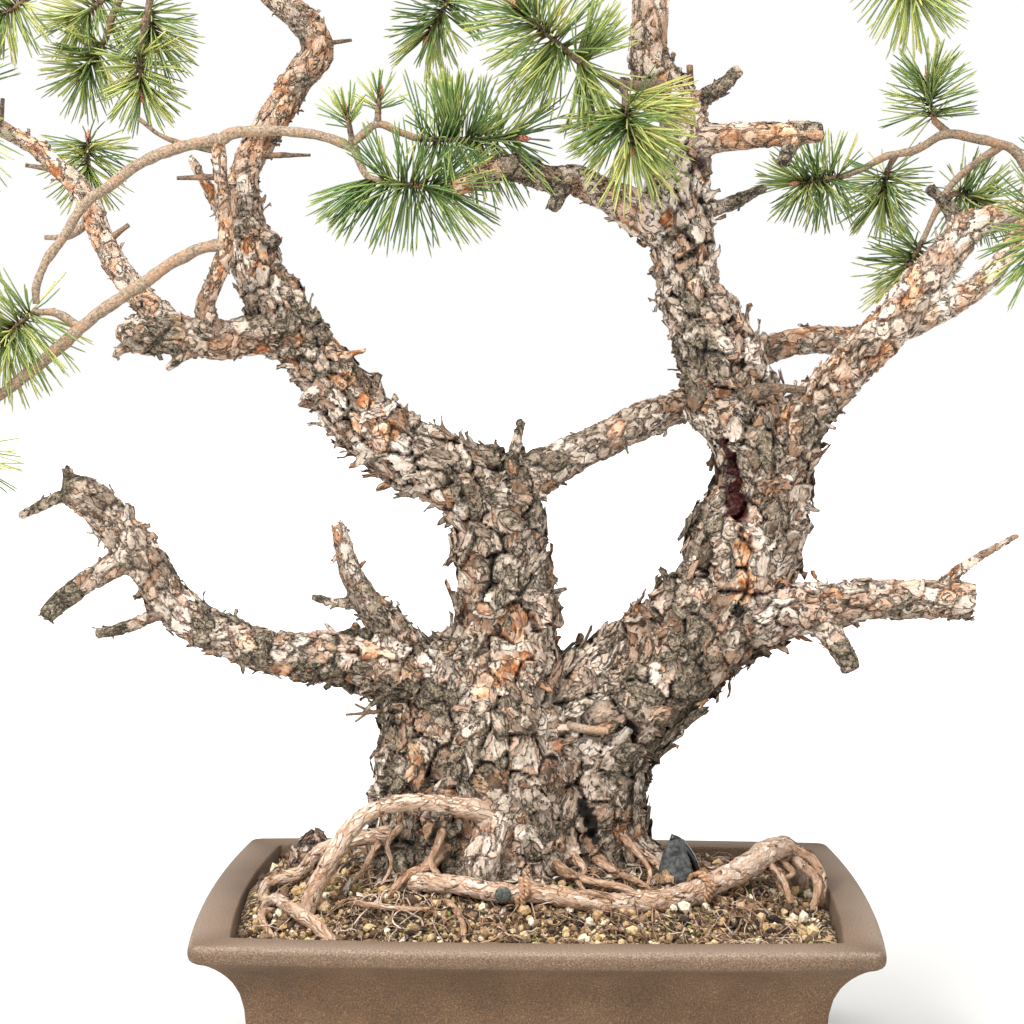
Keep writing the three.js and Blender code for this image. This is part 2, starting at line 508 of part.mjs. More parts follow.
// A slim shoot with pairs of needles. Each row is a narrow band of its core whose small
// triangles are raised to points, and the rows lean further forward towards the bud.
function makeShoot({ base, toward, length, rows, sides, needle, open }, random, isClear) {
  const axis = new THREE.Vector3(...toward).normalize();
  const side = new THREE.Vector3(0, 0, 1).cross(axis);
  if (side.length() < 0.2) {
    side.set(1, 0, 0);
  }
  side.normalize();
  const other = axis.clone().cross(side);
  const start = new THREE.Vector3(...base);
  const bandWidth = 1.7;
  const positions = [];
  const index = [];
  const stations = [{ s: 0, turn: 0 }];
  for (let row = 0; row < rows; row += 1) {
    const s = lerp(length * 0.14, length * 0.9, rows > 1 ? row / (rows - 1) : 0.5);
    stations.push({ s, turn: row * 0.5, row });
    stations.push({ s: s + bandWidth, turn: row * 0.5 + 0.12 });
  }
  const around = (angle) => {
    return side.clone().multiplyScalar(Math.cos(angle)).addScaledVector(other, Math.sin(angle));
  };
  for (const station of stations) {
    const radius = shootCore * lerp(1, 0.72, station.s / length);
    for (let j = 0; j < sides; j += 1) {
      const angle = (j + station.turn) * 2 * Math.PI / sides;
      const point = start.clone().addScaledVector(axis, station.s).addScaledVector(around(angle), radius);
      positions.push(point.x, point.y, point.z);
    }
  }
  const addPoint = (point) => {
    positions.push(point.x, point.y, point.z);
    return positions.length / 3 - 1;
  };
  const vertex = (i) => new THREE.Vector3(positions[3 * i], positions[3 * i + 1], positions[3 * i + 2]);
  const raise = (a, b, c, direction, size) => {
    const middle = vertex(a).add(vertex(b)).add(vertex(c)).divideScalar(3);
    for (let attempt = 0; attempt < 14; attempt += 1) {
      const reach = size * lerp(1, 0.55, attempt / 14) * lerp(0.92, 1.06, random());
      const bend = new THREE.Vector3(random() - 0.5, random() - 0.5, random() - 0.5);
      const heading = direction.clone().addScaledVector(bend, 0.1 + attempt * 0.03).normalize();
      const tip = middle.clone().addScaledVector(heading, reach);
      if (isClear(middle, tip)) {
        const apex = addPoint(tip);
        index.push(a, b, apex, b, c, apex, c, a, apex);
        return;
      }
    }
    index.push(a, b, c);
  };
  for (let i = 0; i < stations.length - 1; i += 1) {
    for (let j = 0; j < sides; j += 1) {
      const a = i * sides + j;
      const b = i * sides + (j + 1) % sides;
      const c = b + sides;
      const d = a + sides;
      if (stations[i].row === undefined) {
        index.push(a, b, c, a, c, d);
        continue;
      }
      const progress = stations[i].row / Math.max(1, rows - 1);
      const lean = THREE.MathUtils.degToRad(lerp(open, open * 0.36, progress));
      const angle = (j + 0.5 + stations[i].turn) * 2 * Math.PI / sides;
      const outward = around(angle);
      const across = axis.clone().cross(outward);
      const heading = axis.clone().multiplyScalar(Math.cos(lean)).addScaledVector(outward, Math.sin(lean));
      raise(a, b, c, heading.clone().addScaledVector(across, needleSpread), needle);
      raise(a, c, d, heading.clone().addScaledVector(across, -needleSpread), needle);
    }
  }
  const bud = addPoint(start.clone().addScaledVector(axis, length + 4));
  const butt = addPoint(start.clone());
  const last = (stations.length - 1) * sides;
  for (let j = 0; j < sides; j += 1) {
    const next = (j + 1) % sides;
    index.push(last + j, last + next, bud, butt, next, j);
  }
  const geometry = new THREE.BufferGeometry();
  geometry.setAttribute('position', new THREE.Float32BufferAttribute(positions, 3));
  geometry.setIndex(index);
  return geometry;
}

// The sprays: where each starts beyond its twig, the way it grows, its length and size
const sprayPlan = [
  { name: 'spray_front_centre_top', twig: 'centreTop', toward: [-0.75, -0.1, 0.65], length: 44, rows: 4 },
  { name: 'spray_front_centre_low', twig: 'centreTopDown', toward: [0.15, -0.35, -0.9], length: 26, rows: 3 },
  { name: 'spray_front_arch_end', limb: 'archRightUp', toward: [1, 0.05, 0.02], length: 62, rows: 4 },
  { name: 'spray_front_hanging', limb: 'archRightDown', toward: [1, -0.05, -0.1], length: 40, rows: 4 },
  { name: 'spray_back_centre', twig: 'topLeftOne', toward: [-0.5, 0.1, -0.86], length: 34, rows: 3 },
  { name: 'spray_top_left_out', twig: 'topLeftTwo', toward: [-0.85, -0.1, 0.5], length: 30, rows: 3 },
  { name: 'spray_top_right_hang', twig: 'topRightOne', toward: [0.25, -0.1, -0.96], length: 34, rows: 3 },
  { name: 'spray_top_right_up', twig: 'topRightTwo', toward: [0.2, -0.2, 0.95], length: 30, rows: 3 },
  { name: 'spray_top_right_out', twig: 'topRightThree', toward: [0.95, 0.1, 0.3], length: 32, rows: 3 },
  { name: 'spray_top_back_end', twig: 'topBackOne', toward: [0.9, 0.35, 0.1], length: 32, rows: 3 },
  { name: 'spray_top_back_up', twig: 'topBackTwo', toward: [-0.2, 0.4, 0.9], length: 30, rows: 3 },
  { name: 'spray_top_back_side', twig: 'topBackThree', toward: [0.1, 0.8, 0.4], length: 26, rows: 3 },
  { name: 'spray_top_front_left', twig: 'topFrontOne', toward: [-0.85, -0.35, 0.4], length: 32, rows: 3 },
  { name: 'spray_top_front', twig: 'topFrontTwo', toward: [0.25, -0.7, 0.65], length: 28, rows: 3 },
  { name: 'spray_top_apex', limb: 'rightTop', toward: [-0.1, 0, 1], length: 28, rows: 3 },
  { name: 'spray_left_back_end', twig: 'leftBackOne', toward: [-0.75, 0.05, -0.6], length: 30, rows: 3 },
  { name: 'spray_left_back_inner', twig: 'leftBackTwo', toward: [0.15, 0.25, -0.95], length: 26, rows: 3 },
  { name: 'spray_left_back_low', twig: 'leftBackThree', toward: [0.1, -0.2, -0.97], length: 26, rows: 3 },
  { name: 'spray_left_back_mid', twig: 'leftBackFour', toward: [-0.6, 0.1, -0.8], length: 28, rows: 3 },
  { name: 'spray_left_back_rise', twig: 'leftBackFive', toward: [0, 0.25, 0.97], length: 26, rows: 3 },
  { name: 'spray_left_back_out', twig: 'leftBackSix', toward: [-0.75, -0.1, -0.5], length: 26, rows: 3 },
  { name: 'spray_left_front_end', twig: 'leftFrontOne', toward: [-0.75, -0.35, 0.45], length: 30, rows: 3 },
  { name: 'spray_left_front_side', twig: 'leftFrontTwo', toward: [0.2, -0.8, 0.5], length: 26, rows: 3 },
  { name: 'spray_left_top_right', twig: 'leftTopRight', toward: [0.9, -0.2, 0.35], length: 30, rows: 3 },
  { name: 'spray_left_top_back', twig: 'leftTopBack', toward: [0.15, 0.75, 0.6], length: 28, rows: 3 },
  { name: 'spray_left_apex', limb: 'leftMain', toward: [0.15, 0, 1], length: 28, rows: 3 },
  { name: 'spray_left_far_end', limb: 'leftBack', toward: [-0.45, 0.1, 0.9], length: 28, rows: 3 },
  { name: 'spray_left_far_side', twig: 'leftFar', toward: [-0.6, -0.6, -0.4], length: 24, rows: 3 },
  { name: 'spray_left_edge', limb: 'twigTwoSide', toward: [-0.7, -0.05, -0.7], length: 30, rows: 4 },
  { name: 'spray_left_low_end', limb: 'twigTwo', toward: [-0.95, 0.1, 0.15], length: 26, rows: 3 },
  { name: 'spray_left_low_under', limb: 'twigTwoEnd', toward: [-0.4, -0.3, -0.85], length: 24, rows: 3 },
  { name: 'spray_right_back_inner', limb: 'rightBackA', toward: [-0.85, -0.45, -0.15], length: 34, rows: 4 },
  { name: 'spray_right_back_under', limb: 'rightBackB', toward: [-0.5, -0.1, -0.85], length: 32, rows: 3 },
  { name: 'spray_right_back_top', twig: 'rightBackC', toward: [-0.1, 0.15, 0.98], length: 28, rows: 3 },
  { name: 'spray_right_back_end', twig: 'rightBackD', toward: [0.7, 0.2, 0.6], length: 28, rows: 3 },
  { name: 'spray_right_back_mid', twig: 'rightBackE', toward: [0.75, 0.35, -0.2], length: 24, rows: 3 },
  { name: 'spray_right_back_low', twig: 'rightBackF', toward: [-0.05, 0.5, -0.85], length: 24, rows: 3 },
  { name: 'spray_right_far_end', limb: 'rightUpper', toward: [0.7, 0.1, 0.65], length: 28, rows: 3 },
  { name: 'spray_right_far_front', twig: 'rightFarOne', toward: [0.25, -0.75, 0.5], length: 26, rows: 3 },
  { name: 'spray_right_far_back', twig: 'rightFarTwo', toward: [0.3, 0.85, 0.4], length: 26, rows: 3 },
  { name: 'spray_right_edge', twig: 'rightFarThree', toward: [-0.15, -0.5, -0.85], length: 28, rows: 4 },
];

// Two small sprays of short young needles on stalks of their own
const youngSprays = [
  { name: 'spray_front_young_left', stalk: [[-118, -58, 612, 2.6], [-119, -61, 622, 1.8]],
    toward: [-0.25, -0.15, 0.95], length: 12, needle: 22 },
  { name: 'spray_front_young_right', stalk: [[-102, -60, 626, 2.4], [-102, -61, 634, 1.8]],
    toward: [0.1, 0.05, 1], length: 10, needle: 20 },
];

// How near two straight stretches come to each other
function stretchDistance(a, b, c, d) {
  const u = b.clone().sub(a);
  const v = d.clone().sub(c);
  const w = a.clone().sub(c);
  const uu = u.dot(u);
  const uv = u.dot(v);
  const vv = v.dot(v);
  const uw = u.dot(w);
  const vw = v.dot(w);
  const spread = uu * vv - uv * uv;
  let s = spread > 1e-6 ? clamp((uv * vw - vv * uw) / spread, 0, 1) : 0;
  const t = clamp((uv * s + vw) / vv, 0, 1);
  s = clamp((uv * t - uw) / uu, 0, 1);
  return a.clone().addScaledVector(u, s).distanceTo(c.clone().addScaledVector(v, t));
}

// Every limb as straight stretches with a thickness, which the needles keep clear of
function limbStretches(styles) {
  const stretches = [];
  for (const { route } of styles) {
    const curve = new THREE.CatmullRomCurve3(
      route.map(([x, y, z]) => new THREE.Vector3(x, y, z)), false, 'centripetal');
    const count = (route.length - 1) * 2;
    for (let i = 0; i < count; i += 1) {
      const from = curve.getPoint(i / count);
      const to = curve.getPoint((i + 1) / count);
      const radius = Math.max(route[Math.floor(i / 2)][3], route[Math.ceil((i + 1) / 2)][3]);
      stretches.push({ from, to, radius: radius * 1.1 });
    }
  }
  return stretches;
}

const treeStyles = treeLimbs();

// The sprays one after another, each needle clear of the limbs and of the needles before it
function makeSprays() {
  const stretches = limbStretches(treeStyles);
  const needles = [];
  const random = seededRandom(23);
  const plan = sprayPlan.map((spray) => {
    const route = limbRoutes[spray.limb] ?? twigRoutes[spray.twig];
    return { ...spray, route, needle: needleLength, sides: 5, open: 78 };
  });
  for (const young of youngSprays) {
    plan.push({ ...young, route: young.stalk, rows: 2, sides: 4, open: 62 });
  }
  const cores = [];
  const starts = plan.map((spray) => {
    const end = new THREE.Vector3(...spray.route.at(-1).slice(0, 3));
    const before = new THREE.Vector3(...spray.route.at(-2).slice(0, 3));
    const toward = new THREE.Vector3(...spray.toward).normalize();
    const twigWay = end.clone().sub(before).normalize();
    const clearance = gap + shootCore * Math.sqrt(1 - Math.min(1, toward.dot(twigWay)) ** 2) * 1.6;
    const base = end.clone().addScaledVector(twigWay, clearance);
    cores.push({ from: base, to: base.clone().addScaledVector(toward, spray.length + 4) });
    return base;
  });
  return plan.map((spray, number) => {
    const own = cores[number];
    const isClear = (from, tip) => {
      const near = from.clone().lerp(tip, 0.16);
      const keepOff = (stretch, space) => stretchDistance(near, tip, stretch.from, stretch.to) > space;
      return stretches.every((stretch) => keepOff(stretch, stretch.radius + 1.6))
        && cores.every((core) => core === own || keepOff(core, shootCore + 1.4))
        && needles.every((needle) => needle.number === number || keepOff(needle, 1.9));
    };
    const grown = [];
    const record = (from, tip) => {
      const clear = isClear(from, tip);
      if (clear) {
        grown.push({ from, to: tip, number });
      }
      return clear;
    };
    const base = starts[number].toArray();
    const geometry = makeShoot({ ...spray, base }, random, record);
    needles.push(...grown);
    return { name: spray.name, geometry };
  });
}

// Finishes, as each looks from a step away
const finishes = {
  stoneware: new THREE.MeshStandardMaterial({ color: '#8d735f', roughness: 0.82, metalness: 0 }),
  screen: new THREE.MeshStandardMaterial({ color: '#2b2d2c', roughness: 0.7, metalness: 0 }),
  soil: new THREE.MeshStandardMaterial({ color: '#6b5a3e', roughness: 1, metalness: 0 }),
  bark: new THREE.MeshStandardMaterial({ color: '#a3927f', roughness: 0.95, metalness: 0 }),
  needles: new THREE.MeshStandardMaterial({ color: '#4f7f45', roughness: 0.55, metalness: 0 }),
  slate: new THREE.MeshStandardMaterial({ color: '#3a4045', roughness: 0.8, metalness: 0 }),
  shard: new THREE.MeshStandardMaterial({ color: '#131415', roughness: 0.25, metalness: 0 }),
  cord: new THREE.MeshStandardMaterial({ color: '#b48a5c', roughness: 0.95, metalness: 0 }),
  nail: new THREE.MeshStandardMaterial({ color: '#6d6f6b', roughness: 0.55, metalness: 0.8 }),
};

const bonsai = new THREE.Group();

function place(name, geometry, finish) {
  const mesh = new THREE.Mesh(geometry, finishes[finish]);
  mesh.name = name;
  bonsai.add(mesh);
}

const lowStyles = treeStyles.filter(({ route }) => route.some((point) => point[2] < 190));
const clearOfTree = makeTreeSolid(lowStyles, gap);
const tree = makeTreeSolid(treeStyles, 0).subtract(toSolid(makeNail(gap)));
let soil = makeSoilSolid().subtract(clearOfTree).subtract(toSolid(makeNail(gap)));
soil = soil.subtract(toSolid(makeChunk(slateWedge, gap))).subtract(toSolid(makeChunk(barkChunk, gap)));
soil = soil.subtract(toSolid(makeShard(gap)));
for (const side of [-1, 1]) {
  const roomSide = screenSide + 2 * gap;
  const room = new THREE.BoxGeometry(roomSide, roomSide, 2 * (screenThickness + 2 * gap));
  room.translate(side * drainOffset, 0, screenFloor);
  soil = soil.subtract(toSolid(room));
}
for (const tie of Object.values(ties)) {
  soil = soil.subtract(toSolid(makeTie(tie, gap)));
}

place('pot', makePot(), 'stoneware');
place('drain_screen_left', makeScreen(-drainOffset), 'screen');
place('drain_screen_right', makeScreen(drainOffset), 'screen');
place('soil', toGeometry(soil), 'soil');
place('tree', toGeometry(tree), 'bark');
for (const [name, tie] of Object.entries(ties)) {
  place(name, makeTie(tie), 'cord');
}
place('nail', makeNail(), 'nail');
place('slate_wedge', makeChunk(slateWedge), 'slate');
place('black_shard', makeShard(), 'shard');
place('bark_chunk', makeChunk(barkChunk), 'bark');
for (const { name, geometry } of makeSprays()) {
  place(name, geometry, 'needles');
}

export default bonsai;
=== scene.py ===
import itertools
import math
import random

import bmesh
import bpy
import numpy as np
from mathutils import Matrix, Vector, kdtree


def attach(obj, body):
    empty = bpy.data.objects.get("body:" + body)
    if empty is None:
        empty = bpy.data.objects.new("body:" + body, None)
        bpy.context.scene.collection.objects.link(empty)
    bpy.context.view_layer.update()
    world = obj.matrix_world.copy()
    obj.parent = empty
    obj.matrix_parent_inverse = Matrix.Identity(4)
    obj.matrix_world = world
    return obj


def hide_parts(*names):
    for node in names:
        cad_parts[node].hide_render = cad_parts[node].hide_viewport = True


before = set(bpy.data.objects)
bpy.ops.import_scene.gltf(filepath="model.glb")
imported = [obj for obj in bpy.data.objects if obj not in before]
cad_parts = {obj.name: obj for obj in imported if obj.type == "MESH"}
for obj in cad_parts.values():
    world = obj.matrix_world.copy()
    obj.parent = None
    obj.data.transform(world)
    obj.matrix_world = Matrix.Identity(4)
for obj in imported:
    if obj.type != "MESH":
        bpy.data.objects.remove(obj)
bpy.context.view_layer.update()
mm = 0.001  # everything below is in millimetres until it becomes a mesh
print("frame loaded:", len(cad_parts), "CAD nodes")


def putInScene(name, data):
    made = bpy.data.objects.new(name, data)
    bpy.context.scene.collection.objects.link(made)
    return made


# the camera stands where the photograph was taken: angles in degrees, focal length in mm on a 36 mm sensor
camera = {"place": (5.2, -1549.0, 491.7), "turnLeft": 0.862, "lookDown": 4.102, "roll": 0.288, "focal": 83.305}


def placeCamera():
    yaw, pitch, roll = (math.radians(camera[key]) for key in ("turnLeft", "lookDown", "roll"))
    forward = Vector((-math.sin(yaw) * math.cos(pitch), math.cos(yaw) * math.cos(pitch), -math.sin(pitch)))
    level = Vector((math.cos(yaw), math.sin(yaw), 0))
    upright = level.cross(forward)
    right = math.cos(roll) * level + math.sin(roll) * upright
    up = math.cos(roll) * upright - math.sin(roll) * level
    data = bpy.data.cameras.new("studioCamera")
    data.lens, data.sensor_width = camera["focal"], 36
    data.clip_start, data.clip_end = 0.05, 60
    seat = putInScene("studioCamera", data)
    turned = Matrix((right, up, -forward)).transposed().to_4x4()
    seat.matrix_world = Matrix.Translation(Vector(camera["place"]) * mm) @ turned
    bpy.context.scene.camera = seat


placeCamera()
print("camera placed")


def colour(code):  # sRGB hex to linear
    parts = [int(code[i:i + 2], 16) / 255 for i in (1, 3, 5)]
    return tuple(c / 12.92 if c <= 0.04045 else ((c + 0.055) / 1.055) ** 2.4 for c in parts) + (1.0,)


def connect(tree, node, links):  # a socket is linked, any other value is set
    for key, value in links.items():
        if isinstance(value, bpy.types.NodeSocket):
            tree.links.new(value, node.inputs[key])
        else:
            node.inputs[key].default_value = value


def add(tree, kind, links=None, stops=None, take=None, **settings):  # adds a node and gives back its output
    node = tree.nodes.new("ShaderNode" + kind)
    for key, value in settings.items():
        setattr(node, key, value)
    if stops:
        ramp = node.color_ramp.elements
        while len(ramp) < len(stops):
            ramp.new(0.5)
        for element, (place, code) in zip(ramp, stops):
            element.position, element.color = place, colour(code)
    connect(tree, node, links or {})
    if take or not node.outputs:
        return node.outputs[take] if take else node
    return next(output for output in node.outputs if output.enabled)


def newMaterial(name):
    material = bpy.data.materials.new(name)
    material.use_nodes = True
    tree = material.node_tree
    tree.nodes.clear()
    surface = add(tree, "BsdfPrincipled")
    add(tree, "OutputMaterial", {"Surface": surface})
    return material, tree, surface.node


def smoothStep(values, low, high):
    t = np.clip((values - low) / (high - low), 0, 1)
    return t * t * (3 - 2 * t)


def softNoise(points, size, seed):  # between -1 and 1, one lump each size
    grid = np.asarray(points) / size + seed * 17.31
    cell = np.floor(grid).astype(np.int64)
    part = grid - cell
    part = part * part * (3 - 2 * part)
    total = np.zeros(len(grid))
    for corner in itertools.product((0, 1), repeat=3):
        near = cell + np.array(corner)
        mixed = near[:, 0] * 73856093 ^ near[:, 1] * 19349663 ^ near[:, 2] * 83492791 ^ seed * 2971215073
        mixed = (mixed ^ (mixed >> 13)) * 1274126177 & 0x7FFFFFFF  # large odd numbers mix the bits of a corner
        value = ((mixed ^ (mixed >> 15)) & 0xFFFF) / 32767.5 - 1
        total += value * np.prod(np.where(np.array(corner) == 1, part, 1 - part), axis=1)
    return total


def unit(vectors):
    return vectors / np.maximum(np.linalg.norm(vectors, axis=-1, keepdims=True), 1e-9)


def joinParts(parts):  # each part is (points, faces, attributes)
    points, faces, start = [], [], 0
    values = {key: [] for key in parts[0][2]}
    for partPoints, partFaces, partValues in parts:
        points.append(partPoints)
        faces += [tuple(corner + start for corner in face) for face in partFaces]
        for key in values:
            value = np.asarray(partValues[key], float)
            values[key].append(np.broadcast_to(value, (len(partPoints),) + value.shape[1:]))
        start += len(partPoints)
    return np.vstack(points), faces, {key: np.concatenate(lists) for key, lists in values.items()}


def repeated(template, count, each):  # the same faces on every copy of a set of points
    return [tuple(corner + k * each for corner in face) for k in range(count) for face in template]


def plainMesh(name, points, faces, scale=mm):
    mesh = bpy.data.meshes.new(name)
    mesh.from_pydata((np.asarray(points, float) * scale).tolist(), [], faces)
    return mesh


def makePiece(name, points, faces, finishes, attributes=None, smooth=True, faceFinish=None):
    mesh = plainMesh(name, points, faces)
    for finish in finishes:
        mesh.materials.append(finish)
    mesh.polygons.foreach_set("use_smooth", np.full(len(mesh.polygons), smooth))
    if faceFinish is not None:
        mesh.polygons.foreach_set("material_index", np.asarray(faceFinish, np.int32))
    for key, values in (attributes or {}).items():
        kind, field = ("FLOAT_VECTOR", "vector") if np.ndim(values) == 2 else ("FLOAT", "value")
        made = mesh.attributes.new(key, kind, "POINT")
        made.data.foreach_set(field, np.asarray(values, np.float32).ravel())
    mesh.update()
    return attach(putInScene(name, mesh), "root")


def loftFaces(rings, sides):  # rings of points in a row, then one middle point for either end
    faces, last, foot = [], (rings - 1) * sides, rings * sides
    for i, j in itertools.product(range(rings - 1), range(sides)):
        a, b = i * sides + j, i * sides + (j + 1) % sides
        faces.append((a, b, b + sides, a + sides))
    for j in range(sides):
        faces += [(foot, (j + 1) % sides, j), (foot + 1, last + j, last + (j + 1) % sides)]
    return faces


def followRoute(route, step):  # centripetal curve through [x, y, z, radius], about one sample each step
    knots = np.array(route, float)
    padded = np.vstack([2 * knots[0] - knots[1], knots, 2 * knots[-1] - knots[-2]])
    samples = []
    for i in range(1, len(padded) - 2):
        a, b, c, d = padded[i - 1:i + 3]
        gaps = [max(np.linalg.norm(q[:3] - p[:3]) ** 0.5, 1e-3) for p, q in ((a, b), (b, c), (c, d))]
        leave = ((b - a) / gaps[0] - (c - a) / (gaps[0] + gaps[1]) + (c - b) / gaps[1]) * gaps[1]
        reach = ((c - b) / gaps[1] - (d - b) / (gaps[1] + gaps[2]) + (d - c) / gaps[2]) * gaps[1]
        count = max(1, round(np.linalg.norm((c - b)[:3]) / step))
        for t in np.arange(count) / count:
            bend = (3 * (c - b) - 2 * leave - reach) * t ** 2 + (2 * (b - c) + leave + reach) * t ** 3
            sample = b + leave * t + bend
            sample[3] = b[3] + (c[3] - b[3]) * t
            samples.append(sample)
    samples.append(padded[-2])
    return np.array(samples)


def frameRoute(samples):  # the way of a route and two steady directions across it
    ways = unit(np.gradient(samples[:, :3], axis=0))
    sides, side = np.empty_like(ways), np.cross(ways[0], (0.31, 0.87, 0.23))
    for i, way in enumerate(ways):
        side = unit(side - way * side.dot(way))
        sides[i] = side
    return ways, sides, np.cross(ways, sides)


def alongRoute(samples):  # distance of each sample from the start
    return np.append(0, np.cumsum(np.linalg.norm(np.diff(samples[:, :3], axis=0), axis=1)))


def around(sides):  # angles of a ring's points
    return np.arange(sides) * 2 * math.pi / sides


def tube(samples, sides, flatten=1.0, rough=0.0, seed=0):
    _, across, other = frameRoute(samples)
    turns = around(sides)[None, :, None]
    ring = np.cos(turns) * across[:, None, :] + np.sin(turns) * other[:, None, :]
    points = (samples[:, None, :3] + ring * samples[:, None, 3:] * (1, flatten, 1)).reshape(-1, 3)
    if rough:
        middle = np.repeat(samples[:, :3], sides, axis=0)
        swell = 1 + rough * (softNoise(points, 7, seed) + 0.6 * softNoise(points, 2.6, seed + 1))
        points = middle + (points - middle) * swell[:, None]
    return np.vstack([points, samples[:1, :3], samples[-1:, :3]]), loftFaces(len(samples), sides)


def tubePlace(samples, sides):  # place on a tube laid out straight, in mm, for its rings and its two ends
    along, turns = alongRoute(samples), around(sides)
    ring = np.stack([np.cos(turns), np.sin(turns)], axis=1)[None] * samples[:, None, 3:]
    place = np.concatenate([ring, np.repeat(along[:, None, None], sides, axis=1)], axis=2).reshape(-1, 3)
    return np.vstack([place, [[0, 0, 0], [0, 0, along[-1]]]])


def fromBmesh(bm):  # points and faces, and the bmesh is let go
    points = np.array([v.co for v in bm.verts])
    faces = [tuple(v.index for v in face.verts) for face in bm.faces]
    bm.free()
    return points, faces


firstColour, secondColour = 6, 7  # the colour inputs of a mix node


# stoneware: unglazed clay fired brown, wiped smooth by hand. It gives a dry, matt, finely speckled skin.
def makeStoneware():
    material, tree, shader = newMaterial("stonewareUnglazed")
    where = add(tree, "TexCoord", take="Object")
    cloud = add(tree, "TexNoise", {"Vector": where, "Scale": 22.0, "Detail": 5.0})  # 45 mm clouds
    clay = add(tree, "ValToRGB", {"Fac": cloud}, stops=[(0.3, "#62482f"), (0.5, "#715439"), (0.72, "#806348")])
    grit = add(tree, "TexNoise", {"Vector": where, "Scale": 1000.0, "Detail": 2.0,
                                  "Roughness": 0.8})  # 0.5 mm grit, drawn as 1 mm to show
    specks = add(tree, "ValToRGB", {"Fac": grit},
                 stops=[(0.36, "#161310"), (0.47, "#737373"), (0.56, "#8a8a8a"), (0.66, "#cfc9c0")])
    # lighter #8f7a68 where the worn attribute is set on the rim: hand wear and a painted highlight
    worn = add(tree, "Attribute", attribute_name="worn", take="Fac")
    worn = add(tree, "Mix", {"Factor": worn, firstColour: clay, secondColour: colour("#8f7a68")}, data_type="RGBA")
    mixed = add(tree, "Mix", {"Factor": 0.7, firstColour: worn, secondColour: specks}, data_type="RGBA",
                blend_type="OVERLAY")
    bump = add(tree, "Bump", {"Height": grit, "Strength": 0.35, "Distance": 0.0007})
    connect(tree, shader, {"Base Color": mixed, "Normal": bump, "Roughness": 0.78, "IOR": 1.5})
    return material
